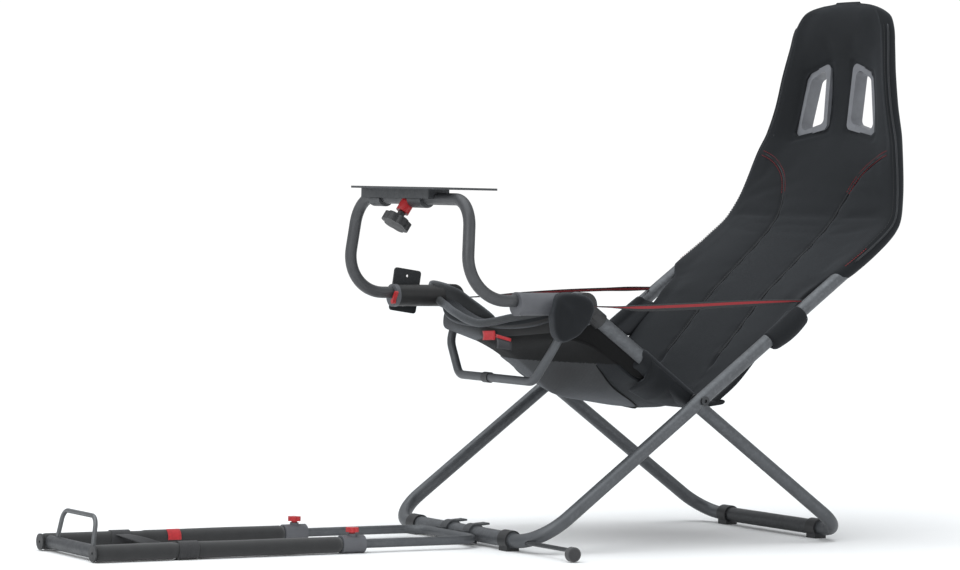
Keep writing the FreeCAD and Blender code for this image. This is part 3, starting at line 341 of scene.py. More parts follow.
def dress_nodes():
    """Every metal, plastic and rubber node keeps its shape and takes its finish by slot name."""
    special = {
        "wheel_hoop": coated_metal("hoop_coat", (0.062, 0.064, 0.068)),
        "accessory_plate": coated_metal("plate_coat", (0.011, 0.0132, 0.0155), 0.5, 0.1),
        "pivot_bolts": coated_metal("bolt_coat", (0.05, 0.052, 0.055), 0.3, 0.7),
        "stretcher_collar": moulded_plastic("collar_moulding", (0.03, 0.031, 0.033), 0.45),
        "pedal_end_bar": coated_metal("end_bar_coat", (0.05, 0.0525, 0.057)),
        # Painted shade: the far arm sleeve and seat hub take a darker moulding than the near ones.
        "arm_sleeve_right": moulded_plastic("painted_shade_sleeve", (0.01, 0.01, 0.0105), 0.5),
        "rear_floor_bar": coated_metal("bar_coat", (0.042, 0.044, 0.047)),
        "harness_bezel_left": moulded_plastic("bezel_moulding", (0.16, 0.165, 0.18), 0.42),
        "outrigger_rod": coated_metal("rod_coat", (0.045, 0.047, 0.05), 0.34, 0.6),
    }
    special["harness_bezel_right"] = special["harness_bezel_left"]
    special["seat_hub_right"] = special["arm_sleeve_right"]
    for name, node in NODES.items():
        for held in node.material_slots:
            word = held.material.name.split(".")[0]
            held.material = special.get(name) or FINISHES[word]


# Mesh building

def pchip(knots, values):
    """A smooth curve through the values that never overshoots them."""
    knots, values = np.asarray(knots, float), np.asarray(values, float)
    gaps = np.diff(knots)
    slopes = np.diff(values) / gaps
    tangents = np.concatenate(([slopes[0]], np.zeros(len(slopes) - 1), [slopes[-1]]))
    for index in range(1, len(slopes)):
        before, after = slopes[index - 1], slopes[index]
        if before * after > 0:
            near, far = 2 * gaps[index] + gaps[index - 1], gaps[index] + 2 * gaps[index - 1]
            tangents[index] = (near + far) / (near / before + far / after)

    def curve(t):
        t = np.clip(t, knots[0], knots[-1])
        k = np.clip(np.searchsorted(knots, t, side="right") - 1, 0, len(gaps) - 1)
        h = gaps[k]
        u = (t - knots[k]) / h
        ends = values[k] * (1 + 2 * u) * (1 - u) ** 2 + values[k + 1] * u * u * (3 - 2 * u)
        return ends + h * u * (1 - u) * (tangents[k] * (1 - u) - tangents[k + 1] * u)

    return curve


def smoothstep(low, high, value):
    t = np.clip((value - low) / (high - low), 0, 1)
    return t * t * (3 - 2 * t)


def smooth(mesh):
    for face in mesh.polygons:
        face.use_smooth = True


def link(name, mesh, material):
    mesh.materials.append(material)
    smooth(mesh)
    return stand(name, mesh)


def discard(thing):
    mesh = thing.data
    bpy.data.objects.remove(thing)
    bpy.data.meshes.remove(mesh)


def skin(name, rings, material, caps="fan"):
    """A closed skin over rings of points, with flat lengths in metres as its UV map."""
    rings = np.asarray(rings, float)
    rows, count = rings.shape[:2]
    verts = [tuple(point) for point in rings.reshape(-1, 3)]
    around = np.linalg.norm(np.roll(rings, -1, axis=1) - rings, axis=2).mean(axis=0)
    across = np.concatenate(([0], np.cumsum(around)))
    steps = np.linalg.norm(np.diff(rings, axis=0), axis=2).mean(axis=1)
    along = np.concatenate(([0], np.cumsum(steps)))
    faces, coords = [], []
    for row in range(rows - 1):
        for col in range(count):
            after, near, far = (col + 1) % count, row * count, (row + 1) * count
            faces.append((near + col, near + after, far + after, far + col))
            low, high = (across[col], along[row]), (across[col + 1], along[row + 1])
            coords.append((low, (high[0], low[1]), high, (low[0], high[1])))
    for row, turn in ((0, -1), (rows - 1, 1)):
        if caps == "fan":
            verts.append(tuple(rings[row].mean(axis=0)))
            for col in range(count):
                pair = (row * count + col, row * count + (col + 1) % count)[::turn]
                faces.append((*pair, len(verts) - 1))
                coords.append(tuple((across[place], along[row]) for place in (col, col + 1, col)))
        elif caps:
            for one, two in zip(range(caps - 1), range(1, caps)):
                other = [(count - 1 - (count - 2 * caps) // 2 - col) % count for col in (one, two)]
                loop = [row * count + col for col in (one, two, other[1], other[0])][::turn]
                faces.append(tuple(loop))
                coords.append(tuple((across[col], along[row]) for col in (one, two, two, one)))
            arc = (count - 2 * caps) // 2
            for first in (caps - 1, 2 * caps + arc - 1):
                loop = [(first + step) % count for step in range(arc + 2)]
                faces.append(tuple(row * count + col for col in loop[::turn]))
                coords.append(tuple((across[col], along[row]) for col in loop))
    mesh = bpy.data.meshes.new(name)
    mesh.from_pydata(verts, [], faces)
    layer = mesh.uv_layers.new(name="flat")
    for face, corners in zip(mesh.polygons, coords):
        for loop, corner in zip(face.loop_indices, corners):
            layer.data[loop].uv = corner
    return link(name, tidy_normals(mesh), material)


def tidy_normals(mesh):
    shape = bmesh.new()
    shape.from_mesh(mesh)
    bmesh.ops.recalc_face_normals(shape, faces=shape.faces)
    shape.to_mesh(mesh)
    shape.free()
    return mesh


def apply_modifiers(thing):
    """The mesh as its modifiers leave it, with none left on the piece."""
    ready = thing.evaluated_get(bpy.context.evaluated_depsgraph_get())
    mesh = bpy.data.meshes.new_from_object(ready)
    old = thing.data
    thing.modifiers.clear()
    thing.data = mesh
    mesh.name = old.name
    bpy.data.meshes.remove(old)


def finer(thing, levels=1):
    thing.modifiers.new("finer", "SUBSURF").levels = levels
    apply_modifiers(thing)
    smooth(thing.data)


def points_of(thing):
    """The piece's points, from the fold's pivot line on the floor."""
    flat = np.empty(len(thing.data.vertices) * 3)
    thing.data.vertices.foreach_get("co", flat)
    return flat.reshape(-1, 3) - HOME


def move_points(thing, points):
    thing.data.vertices.foreach_set("co", (points + HOME).ravel())
    thing.data.update()


def inflate(thing, held, pressure, cap, stiffness=12.0):
    """Cloth filled by pressure, held where held is 1, and never moved further than cap."""
    rest = points_of(thing)
    group = thing.vertex_groups.new(name="held")
    for index, weight in enumerate(held):
        group.add([index], float(weight), "REPLACE")
    cloth = thing.modifiers.new("cloth", "CLOTH")
    cloth.settings.vertex_group_mass = "held"
    cloth.settings.use_pressure = True
    cloth.settings.uniform_pressure_force = pressure
    cloth.settings.effector_weights.gravity = 0
    cloth.settings.tension_stiffness = stiffness
    cloth.settings.compression_stiffness = stiffness
    cloth.settings.bending_stiffness = 0.8
    cloth.settings.quality = 4
    cloth.point_cache.frame_start = 1
    cloth.point_cache.frame_end = CLOTH_FRAMES
    for number in range(1, CLOTH_FRAMES + 1):
        SCENE.frame_set(number)
    apply_modifiers(thing)
    SCENE.frame_set(1)
    shift = points_of(thing) - rest
    length = np.linalg.norm(shift, axis=1, keepdims=True) + 1e-9
    move_points(thing, rest + shift / length * cap * np.tanh(length / cap))
    thing.vertex_groups.clear()


def frames_along(path):
    """Two unit vectors across each point of a path, turning as little as possible."""
    path = np.asarray(path, float)
    ways = np.gradient(path, axis=0)
    ways /= np.linalg.norm(ways, axis=1, keepdims=True)
    side = np.cross(ways[0], (0, 0, 1) if abs(ways[0][2]) < 0.9 else (0, 1, 0))
    sides = []
    for way in ways:
        side = side - way * side.dot(way)
        side /= np.linalg.norm(side)
        sides.append(side)
    sides = np.array(sides)
    return sides, np.cross(ways, sides)


def tube(name, path, radius, material, sides=10):
    """A round cord along a path, with rounded ends."""
    path = np.asarray(path, float)
    one, two = frames_along(path)
    angles = np.linspace(0, 2 * math.pi, sides, endpoint=False)
    girth = np.full(len(path), float(radius))
    girth[0] = girth[-1] = radius * 0.5
    rings = [
        spot + np.outer(np.cos(angles), a) * r + np.outer(np.sin(angles), b) * r
        for spot, a, b, r in zip(path, one, two, girth)
    ]
    return skin(name, rings, material)


def resample(path, gap):
    path = np.asarray(path, float)
    length = np.concatenate(([0], np.cumsum(np.linalg.norm(np.diff(path, axis=0), axis=1))))
    count = max(2, int(round(length[-1] / gap)) + 1)
    even = np.linspace(0, length[-1], count)
    return np.stack([np.interp(even, length, path[:, axis]) for axis in range(3)], axis=1)


def stitches(name, paths, material):
    """Rows of separate thread dashes, each sunk at its two ends, as one piece."""
    pitch, share, radius = 0.0055, 0.62, 0.00055
    verts, faces = [], []
    sides, stations = 6, ((0.0, 0.35), (0.18, 1.0), (0.82, 1.0), (1.0, 0.35))
    for path in paths:
        spots = resample(path, pitch)
        for start, end in zip(spots[:-1], spots[1:]):
            way = (end - start) / np.linalg.norm(end - start)
            side = np.cross(way, (0, 0, 1) if abs(way[2]) < 0.9 else (0, 1, 0))
            side /= np.linalg.norm(side)
            other = np.cross(way, side)
            first = len(verts)
            for place, swell in stations:
                middle = start + (end - start) * share * place
                for step in range(sides):
                    angle = 2 * math.pi * step / sides
                    verts.append(middle + (side * math.cos(angle) + other * math.sin(angle)) * radius * swell)
            for row in range(len(stations) - 1):
                for step in range(sides):
                    low, high = first + row * sides, first + (row + 1) * sides
                    after = (step + 1) % sides
                    faces.append((low + step, low + after, high + after, high + step))
            last = first + (len(stations) - 1) * sides
            faces.append(tuple(first + step for step in reversed(range(sides))))
            faces.append(tuple(last + step for step in range(sides)))
    mesh = bpy.data.meshes.new(name)
    mesh.from_pydata([tuple(v) for v in verts], [], faces)
    return link(name, tidy_normals(mesh), material)


def ribbon(name, path, wide_ways, widths, material, thick=0.0016, mirror=1):
    """Flat webbing along a path; wide_ways say which way its width points at each point."""
    rings = []
    for spot, wide, width, way in zip(path, wide_ways, widths, np.gradient(np.asarray(path, float), axis=0)):
        way = way / np.linalg.norm(way)
        wide = np.asarray(wide, float)
        wide = wide - way * wide.dot(way)
        wide /= np.linalg.norm(wide)
        deep = np.cross(way, wide)
        ring = []
        for across, lift in RIBBON_SECTION:
            ring.append(np.asarray(spot) + wide * across * mirror * width / 2 + deep * lift * thick / 2)
        rings.append(ring)
    return skin(name, rings, material)


RIBBON_SECTION = [(x, 1) for x in np.linspace(-0.94, 0.94, 9)] + [(1, 0.45), (1, -0.45)]
RIBBON_SECTION += [(x, -1) for x in np.linspace(0.94, -0.94, 9)] + [(-1, -0.45), (-1, 0.45)]


def finish_piece(thing, body, word, *nodes):
    """What every piece on one body gets: its ride, and the nodes that it stands for hidden. The finish's slot
    word is not used.
    """
    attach(thing, body)
    if nodes:
        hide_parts(*nodes)


def across_crease(thing):
    """What cloth gets that reaches from the seat over the crease to the back."""
    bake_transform(thing)


# The sling

class Sling:
    """A padded sling given by stations along it: the centre's y and z, the edge's x, y and z,
    half the thickness at the centre and the edge's radius, all in millimetres."""

    ARC = 5

    def __init__(self, stations, facing, power):
        table = np.array(stations, float) / 1000
        middle = np.hypot(np.diff(table[:, 0]), np.diff(table[:, 1]))
        outer = np.linalg.norm(np.diff(table[:, 2:5], axis=0), axis=1)
        run = np.maximum((middle + outer) / 2, 0.0035)
        self.along = np.concatenate(([0], np.cumsum(run)))
        self.curves = [pchip(self.along, column) for column in table.T]
        self.length = self.along[-1]
        self.facing = facing
        self.power = power

    def middle(self, s, x):
        """The middle of the padding at distance s along and x across."""
        cy, cz, ex, ey, ez = (curve(s) for curve in self.curves[:5])
        share = np.clip(np.abs(x) / ex, 0, 1) ** self.power
        return np.stack([x + 0 * s, cy + (ey - cy) * share, cz + (ez - cz) * share], axis=-1)

    def normal(self, s, x):
        step = 0.004
        along = self.middle(s + step, x) - self.middle(s - step, x)
        across = self.middle(s, x + step) - self.middle(s, x - step)
        out = np.cross(across, along) * self.facing
        return out / np.linalg.norm(out, axis=-1, keepdims=True)

    def thick(self, s, x):
        ex, deep, round_edge = self.curves[2](s), self.curves[5](s), self.curves[6](s)
        blend = smoothstep(ex - 0.055, ex - 0.02, np.abs(x))
        return deep + (round_edge - deep) * blend

    def surface(self, s, x, face=1, lift=0.0):
        """A point on the front (1) or back (-1) skin, in the row's frame."""
        s, x = np.asarray(s, float), np.asarray(x, float)
        deep = (self.thick(s, x) + lift)[..., None]
        return self.middle(s, x) + self.normal(s, x) * deep * face + HOME

    def ring(self, s, columns, squash=1.0, push=0.0):
        """One closed section; squash thins it and push moves it along, to round off the ends."""
        ex, edge = self.curves[2](s), self.curves[6](s)
        inner = columns * ex
        s_all = np.full(len(columns), s)
        middle, out = self.middle(s_all, inner), self.normal(s_all, inner)
        deep = self.thick(s_all, inner)[:, None] * squash
        front, back = middle + out * deep, middle - out * deep
        arcs = []
        for index, sign in ((-1, 1), (0, -1)):
            end = inner[index:][:1]
            across = self.middle(s_all[:1], end + 0.002) - self.middle(s_all[:1], end - 0.002)
            across = (across / np.linalg.norm(across))[0] * sign
            turns = np.linspace(90, -90, self.ARC + 2)[1:-1] * sign
            spread = edge * (0.4 + 0.6 * squash)
            arcs.append([
                middle[index]
                + across * math.cos(math.radians(turn)) * spread
                + out[index] * math.sin(math.radians(turn)) * edge * squash
                for turn in turns
            ])
        way = self.middle(s_all + 0.003, inner) - self.middle(s_all - 0.003, inner)
        ring = np.concatenate([front, arcs[0], back[::-1], arcs[1]])
        mean_way = way.mean(axis=0)
        return ring + mean_way / np.linalg.norm(mean_way) * push + HOME

    def rings(self, gap, columns_at):
        """Sections every gap along, closer where a hem steps, with rounded ends."""
        spots = [np.linspace(0, self.length, int(self.length / gap) + 1)]
        widening = np.abs(np.diff(self.curves[2](self.along)))
        steps = np.where(widening > 0.006 * (np.diff(self.along) < 0.03))[0]
        for index in steps:
            spots.append(np.linspace(self.along[index], self.along[index + 1], 4))
        rows = np.unique(np.round(np.concatenate(spots), 4))
        rows = rows[np.concatenate(([True], np.diff(rows) > 0.0012))]
        first = [self.end_ring(rows[0], columns_at, -angle) for angle in (90, 62, 32)]
        last = [self.end_ring(rows[-1], columns_at, angle) for angle in (32, 62, 90)]
        return np.array(first + [self.ring(s, columns_at(s)) for s in rows] + last)

    def end_ring(self, s, columns_at, angle):
        """A section thinned and moved past the sling's end, for its rounding."""
        turn = math.radians(angle)
        push = float(self.curves[5](s)) * math.sin(turn)
        return self.ring(s, columns_at(s), max(0.12, math.cos(turn)), push)


BACK_STATIONS = [
    (110, 264, 205, 70, 266, 7, 5),
    (144, 308, 212, 114, 304, 8, 5),
    (174, 345, 215, 150, 345, 8, 5),
    (202, 374, 222, 180, 384, 8, 5),
    (260, 440, 228, 240, 445, 9, 5),
    (275, 455, 228, 250, 458, 10, 5),
    (300, 478, 234, 280, 482, 10, 5),
    (325, 501, 262, 309, 503, 10, 13.5),
    (345, 520, 262, 334, 519, 10, 15.5),
    (386, 558, 262, 386, 557, 10, 15.5),
    (427, 604, 257, 436, 604, 10, 15),
    (452, 650, 242, 455, 648, 11, 14.5),
    (486, 734, 211, 476, 738, 12, 14.5),
    (503, 773, 195, 485, 773, 11, 14.5),
    (513, 830, 174, 491, 830, 10, 14),
    (516, 890, 160, 495, 887, 11, 14),
    (514, 945, 146, 502, 945, 14.5, 14),
    (512, 974, 139, 505, 974, 16.5, 14.5),
    (512, 996, 128, 508, 996, 17, 14.5),
    (512, 1009, 117, 509, 1009, 15, 13),
    (513, 1018, 103, 511, 1017, 11.5, 10.5),
    (514, 1024.5, 83, 513, 1023.5, 7.5, 7),
    (514, 1028.5, 60, 514, 1028, 5, 5),
    (514, 1031, 34, 514, 1030.7, 3, 3),
]
SEAT_STATIONS = [
    (112, 262, 205, 88, 266, 7, 5),
    (78, 256, 212, 40, 262, 8, 5),
    (50, 259, 222, 12, 268, 8, 6),
    (32, 262, 232, -2, 274.5, 8, 14.8),
    (-10, 274, 232, -40.8, 301.9, 9, 15),
    (-50, 291, 232, -80, 329.6, 9, 15),
    (-88, 309, 232, -116, 355, 9, 14.8),
    (-92, 311, 206, -120, 350, 9, 5),
    (-120, 325, 190, -140, 360, 9, 5),
    (-170, 352, 190, -180, 378, 9, 5),
    (-205, 372, 205, -215, 400, 9, 7),
    (-228, 386, 214, -236, 424, 10, 9),
    (-250, 395, 214, -250, 434, 10, 9),
    (-280, 401, 210, -260, 434, 9, 8),
    (-306, 403, 204, -268, 430, 8, 7),
]
SEAM_LINE = pchip(
    [0.300, 0.550, 0.620, 0.660, 0.685, 0.705, 0.722, 0.732],
    [0.085, 0.088, 0.094, 0.107, 0.121, 0.143, 0.175, 0.209],
)
BEZEL_QUAD = [(0.036, 0.915), (0.108, 0.893), (0.131, 0.765), (0.032, 0.783)]
BEZEL_Y = 0.511
BEZEL_TILT = math.radians(5)
BACK = Sling(BACK_STATIONS, 1, 2.1)
SEAT = Sling(SEAT_STATIONS, -1, 3.0)


def back_run(height):
    """How far along the back sling its centre is at that height."""
    rows = np.linspace(0, BACK.length, 400)
    return np.interp(height, BACK.curves[1](rows), rows)


def back_columns(s):
    """Columns across the back, one of them on each lengthwise seam."""
    height = float(BACK.curves[1](s))
    edge = float(BACK.curves[2](s))
    seam = min(float(SEAM_LINE(height)), edge * 0.93) / edge
    near = 0.004 / edge
    half = np.concatenate([np.linspace(0, seam - near, 12), [seam], np.linspace(seam + near, 1, 14)])
    return np.concatenate([-half[:0:-1], half])


def polygon_distance(x, z, corners):
    """Distance to a polygon's outline, negative inside it."""
    x, z = np.asarray(x, float), np.asarray(z, float)
    best = np.full(x.shape, 9.0)
    inside = np.zeros(x.shape, bool)
    for (ax, az), (bx, bz) in zip(corners, corners[1:] + corners[:1]):
        length2 = (bx - ax) ** 2 + (bz - az) ** 2
        t = np.clip(((x - ax) * (bx - ax) + (z - az) * (bz - az)) / length2, 0, 1)
        best = np.minimum(best, np.hypot(x - ax - t * (bx - ax), z - az - t * (bz - az)))
        crosses = ((az > z) != (bz > z)) & (x < (bx - ax) * (z - az) / (bz - az + 1e-12) + ax)
        inside ^= crosses
    return np.where(inside, -best, best)


def bezel_tool(side):
    """A rounded prism through the headrest, a little inside the opening's rim."""
    centre = np.mean(BEZEL_QUAD, axis=0)
    loop = []
    for index, corner in enumerate(BEZEL_QUAD):
        corner = np.array(corner)
        corner = corner + np.sign(centre - corner) * 0.002
        for other in (BEZEL_QUAD[index - 1], BEZEL_QUAD[(index + 1) % 4]):
            way = np.array(other) - corner
            loop.append(corner + way / np.linalg.norm(way) * 0.009)
    turn = Matrix.Rotation(-BEZEL_TILT, 4, "X")
    middle = Vector((side * 0.077, 0, 0.84))
    rings = []
    for depth in (-0.06, 0.08):
        ring = []
        for x, z in loop:
            spot = turn @ (Vector((side * x, depth, z)) - middle) + middle
            ring.append(tuple(at(spot.x, spot.y + BEZEL_Y, spot.z)))
        rings.append(ring)
    return skin(f"bezel_tool_{side}", rings, PIPING)


def cut_openings(thing):
    """Cuts the two harness openings through the padded headrest."""
    tools = [bezel_tool(side) for side in (1, -1)]
    for tool in tools:
        cutter = thing.modifiers.new("opening", "BOOLEAN")
        cutter.operation = "DIFFERENCE"
        cutter.solver = "EXACT"
        cutter.object = tool
    apply_modifiers(thing)
    for tool in tools:
        discard(tool)
    smooth(thing.data)


def back_sling():
    rings = BACK.rings(0.009, back_columns)
    caps = len(back_columns(0.1))
    thing = skin("back_sling", rings, CLOTH, caps)
    local = points_of(thing)
    x, z = np.abs(local[:, 0]), local[:, 2]
    edge = BACK.curves[2](back_run(z))
    seam = 1 - smoothstep(0.002, 0.012, np.abs(x - SEAM_LINE(z))) * (z < HEAD_SEAM)
    seam = np.where(z > HEAD_SEAM, 0, seam)
    rim = smoothstep(-0.032, -0.018, x - edge)
    bezel = 1 - smoothstep(0.010, 0.028, np.abs(polygon_distance(x, z, BEZEL_QUAD)))
    ends = np.maximum(1 - smoothstep(0.30, 0.33, z), 0)
    inflate(thing, np.clip(np.maximum.reduce([seam, rim, bezel, ends]), 0, 1), 3.5, 0.007)
    finer(thing)
    local = points_of(thing)
    x, z = np.abs(local[:, 0]), local[:, 2]
    out = BACK.normal(back_run(z), local[:, 0])
    front = np.sign(((local - BACK.middle(back_run(z), local[:, 0])) * out).sum(axis=1))
    shape = -0.0032 * np.exp(-(((x - SEAM_LINE(z)) / 0.0042) ** 2)) * (1 - smoothstep(0.72, 0.735, z))
    shape *= smoothstep(0.31, 0.335, z)
    near_bezel = polygon_distance(x, z, BEZEL_QUAD)
    shape -= 0.003 * np.exp(-(((near_bezel - 0.002) / 0.005) ** 2))
    waves = np.sin(z * 2 * math.pi / 0.031 + np.sin(local[:, 0] * 40))
    puckers = 0.0009 * waves * np.exp(-np.abs(x - SEAM_LINE(z)) / 0.014)
    shape += puckers * (z < 0.72) * (front > 0)
    move_points(thing, local + out * (shape * front)[:, None])
    cut_openings(thing)
    finish_piece(thing, "back_frame", "black_fabric", "backrest_pad")


def seat_sling():
    columns = np.linspace(-1, 1, 55)
    rings = SEAT.rings(0.009, lambda s: columns)
    thing = skin("seat_sling", rings, CLOTH, len(columns))
    local = points_of(thing)
    rows = np.linspace(0, SEAT.length, 300)
    order = np.argsort(-SEAT.curves[0](rows))
    run = np.interp(-local[:, 1], -SEAT.curves[0](rows)[order], rows[order])
    edge = SEAT.curves[2](run)
    rim = smoothstep(-0.04, -0.02, np.abs(local[:, 0]) - edge)
    ends = np.maximum(smoothstep(0.07, 0.1, local[:, 1]), 1 - smoothstep(-0.245, -0.225, local[:, 1]))
    inflate(thing, np.clip(np.maximum(rim, ends), 0, 1), 3.0, 0.006)
    finer(thing)
    thing.data.materials.append(UNDERSIDE)
    for face in thing.data.polygons:
        spot = face.center - ORIGIN
        wrap = -0.188 + (0.2 - min(abs(spot.x), 0.2)) * 1.56
        if face.normal.z < -0.35 and spot.y < wrap:
            face.material_index = 1
    across_crease(thing)
    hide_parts("seat_pan", "seat_crease", "seat_loop_left", "seat_loop_right")


def seam_paths(low, high, lift, shift, count=60):
    """The two lengthwise seams' front lines between two heights, moved sideways by shift."""
    heights = np.linspace(low, high, count)
    slope = (SEAM_LINE(heights + 0.001) - SEAM_LINE(heights - 0.001)) / 0.002
    across = SEAM_LINE(heights) + shift / np.hypot(1, slope)
    runs = back_run(heights - shift * slope / np.hypot(1, slope))
    return [BACK.surface(runs, side * across, 1, lift) for side in (1, -1)]


def edge_paths(low, high, turn, lift, count=90):
    """Lines along the back's two rounded edges, at an angle forward from its sides."""
    runs = back_run(np.linspace(low, high, count))
    edge, girth = BACK.curves[2](runs), BACK.curves[6](runs)[:, None] + lift
    ahead, outward = math.sin(math.radians(turn)), math.cos(math.radians(turn))
    paths = []
    for side in (1, -1):
        centre, out = BACK.middle(runs, side * edge), BACK.normal(runs, side * edge)
        across = centre - BACK.middle(runs, side * (edge - 0.004))
        across /= np.linalg.norm(across, axis=1, keepdims=True)
        paths.append(centre + (across * outward + out * ahead) * girth + HOME)
    return paths


def join_pieces(name, pieces):
    """One piece from several of the same material."""
    shape = bmesh.new()
    material = pieces[0].data.materials[0]
    for piece in pieces:
        shape.from_mesh(piece.data)
        discard(piece)
    mesh = bpy.data.meshes.new(name)
    shape.to_mesh(mesh)
    shape.free()
    return link(name, mesh, material)


def back_seams():
    """Welts in the seams, and red then dark thread beside them."""
    welts = [tube("welt", path, 0.0016, PIPING) for path in seam_paths(0.34, 0.7315, -0.0012, 0.0)]
    welts += [tube("welt", path, 0.0017, PIPING) for path in edge_paths(0.525, 0.985, 30, 0.0002)]
    finish_piece(join_pieces("back_welts", welts), "back_frame", "black_fabric")
    red, dark = [], []
    for shift in (-0.0045, 0.0045):
        red += seam_paths(0.655, 0.7305, 0.0002, shift)
        dark += seam_paths(0.345, 0.652, -0.0004, shift)
    dark += edge_paths(0.525, 0.985, 62, 0.0002)
    low_red = edge_paths(0.512, 0.548, 50, 0.0006, 12)
    finish_piece(stitches("shoulder_stitches", red + low_red, RED_THREAD), "back_frame", "red_plastic")
    finish_piece(stitches("back_stitches", dark, DARK_THREAD), "back_frame", "black_fabric")


def smooth_loop(corners, count):
    """A closed smooth curve through corners, evenly resampled."""
    corners = np.asarray(corners, float)
    around = []
    for index in range(len(corners)):
        before, here, after, later = (corners[(index + step) % len(corners)] for step in (-1, 0, 1, 2))
        for t in np.linspace(0, 1, 12, endpoint=False):
            around.append(0.5 * (2 * here + (after - before) * t
                                 + (2 * before - 5 * here + 4 * after - later) * t * t
                                 + (3 * here - before - 3 * after + later) * t ** 3))
    around = np.array(around + around[:1])
    length = np.concatenate(([0], np.cumsum(np.linalg.norm(np.diff(around, axis=0), axis=1))))
    even = np.linspace(0, length[-1], count, endpoint=False)
    return np.stack([np.interp(even, length, around[:, axis]) for axis in range(around.shape[1])], axis=1)


def tube_tab(word, side):
    """A baggy cloth loop round the rear leg, its tongue sewn to the sling's edge."""
    way = np.array(BACK_WAY)
    drop = np.array((0, 0.5927, -0.8054))
    start, length = 0.184, 0.092
    rings = []
    for reach in np.linspace(start, start + length, 17):
        centre = np.array(on_back(side * BACK_TUBE_X, reach))
        height = PIVOT_HEIGHT + reach * BACK_WAY.z
        run = np.array([float(back_run(min(height + 0.008, 0.476)))])
        edge = BACK.surface(run, side * (BACK.curves[2](run) - 0.006), 0)[0]
        inward = edge - centre
        inward -= way * inward.dot(way)
        far = np.linalg.norm(inward)
        inward /= far
        deep = np.cross(way, inward)
        deep *= np.sign(deep.dot(drop))
        hem = smoothstep(0.0, 0.006, min(reach - start, start + length - reach))
        belly = 0.5 + 0.5 * math.sin(math.pi * (reach - start) / length)
        radius = 0.0148 + 0.0012 * hem + 0.0052 * belly
        sag = deep * (radius - 0.0142)
        ring = []
        for angle in np.linspace(34, 326, 26):
            turn = math.radians(angle)
            ring.append(centre + sag + (inward * math.cos(turn) + deep * math.sin(turn)) * radius)
        tip, waist = centre + inward * (far + 0.006), centre + inward * (radius + 0.007)
        low, high = waist - deep * 0.0062, tip - deep * 0.004
        ring += [low, (low + high) / 2, high, tip + deep * 0.004, waist + deep * 0.0085]
        rings.append(ring)
    thing = skin(f"back_tab_{word}", rings, CLOTH)
    finer(thing)
    finish_piece(thing, "back_frame", "black_fabric", f"back_loop_{word}")


UNDER_STATIONS = [
    (-309, 399, 205, -262, 424), (-312, 386, 205, -268, 404),
    (-302, 377, 205, -268, 393), (-277, 365, 205, -262, 387),
    (-241, 348, 204, -243, 384), (-203, 318, 203, -207, 375),
    (-150, 275, 200, -155, 347), (-101, 263, 196, -105, 314),
    (-25, 253, 190, -30, 290), (40, 246, 180, 20, 268),
]
UNDER_THICKNESS, UNDER_EDGE = 3.5, 4
UNDER = Sling([(*row, UNDER_THICKNESS, UNDER_EDGE) for row in UNDER_STATIONS], 1, 1.25)
UNDER_ROWS = np.linspace(UNDER.along[2], UNDER.length, 300)


def under_hem(x):
    """Where the light backing cloth ends, across the seat."""
    return 0.03 - 3.4 * np.abs(x) ** 1.6


def under_panel():
    """The backing cloth slung below the seat: a light hem, a near-black band of painted shade, a light body and
    a dark rear.
    """
    columns = np.linspace(-1, 1, 57)
    thing = skin("under_panel", UNDER.rings(0.007, lambda s: columns), UNDERSIDE, len(columns))
    finer(thing)
    local = points_of(thing)
    ripple = 0.0012 * np.sin(local[:, 0] * 47 + local[:, 1] * 22) * np.sin(local[:, 1] * 31 + 1.3)
    local[:, 2] += ripple * smoothstep(-0.24, -0.2, local[:, 1])
    move_points(thing, local)
    thing.data.materials.append(SHADE_AND_HEM_CLOTH)
    thing.data.materials.append(CLOTH)
    for face in thing.data.polygons:
        spot = face.center - ORIGIN
        # Painted shade: this band across the front of the panel takes the near-black cloth.
        if 0.337 < spot.z < 0.376 + 0.1 * spot.x:
            face.material_index = 1
        elif spot.y > under_hem(spot.x):
            face.material_index = 2
    across_crease(thing)
    across = np.linspace(-0.165, 0.165, 60)
    runs = np.interp(under_hem(across), UNDER.curves[0](UNDER_ROWS), UNDER_ROWS)
    hem = tube("under_hem", UNDER.surface(runs, across, -1, 0.0004), 0.0016, SHADE_AND_HEM_CLOTH)
    across_crease(hem)


def curve_point(top, bend, low, u):
    return top * (1 - u) ** 2 + bend * 2 * u * (1 - u) + low * u * u


def curtain(name, lines, side, thick, material):
    """Hung cloth from the lines of points down it, with its two faces either side of them."""
    out = np.array((side * thick, 0, 0))
    rings = [[spot + out for spot in line] + [spot - out for spot in line[::-1]] for line in lines]
    thing = skin(name, rings, material)
    finer(thing)
    return thing


def side_drape(word, side):
    """The sling's slack hanging over the seat tube beside the crease, in soft folds."""
    lines = []
    for t in np.linspace(0, 1, 40):
        reach = 0.122 - 0.150 * t
        top = np.array(on_seat(side * 0.2462, reach)) + np.array((0, 0, 0.004))
        y = top[1] - ORIGIN.y
        low_z = np.interp(y, [-0.11, -0.06, 0.0, 0.03], [0.293, 0.268, 0.256, 0.254])
        low = np.array(at(side * 0.165, y + 0.004, low_z))
        bend = np.array(at(side * (0.248 - 0.02 * t), y + 0.002, low_z + 0.012))
        line = []
        for u in np.linspace(0, 1, 17):
            fold = 0.0032 * math.sin(21 * t + 3.2 * u) * math.sin(math.pi * u)
            line.append(curve_point(top, bend, low, u) + np.array((side * fold, 0, fold * 0.3)))
        lines.append(line)
    across_crease(curtain(f"side_drape_{word}", lines, side, 0.0017, CLOTH))


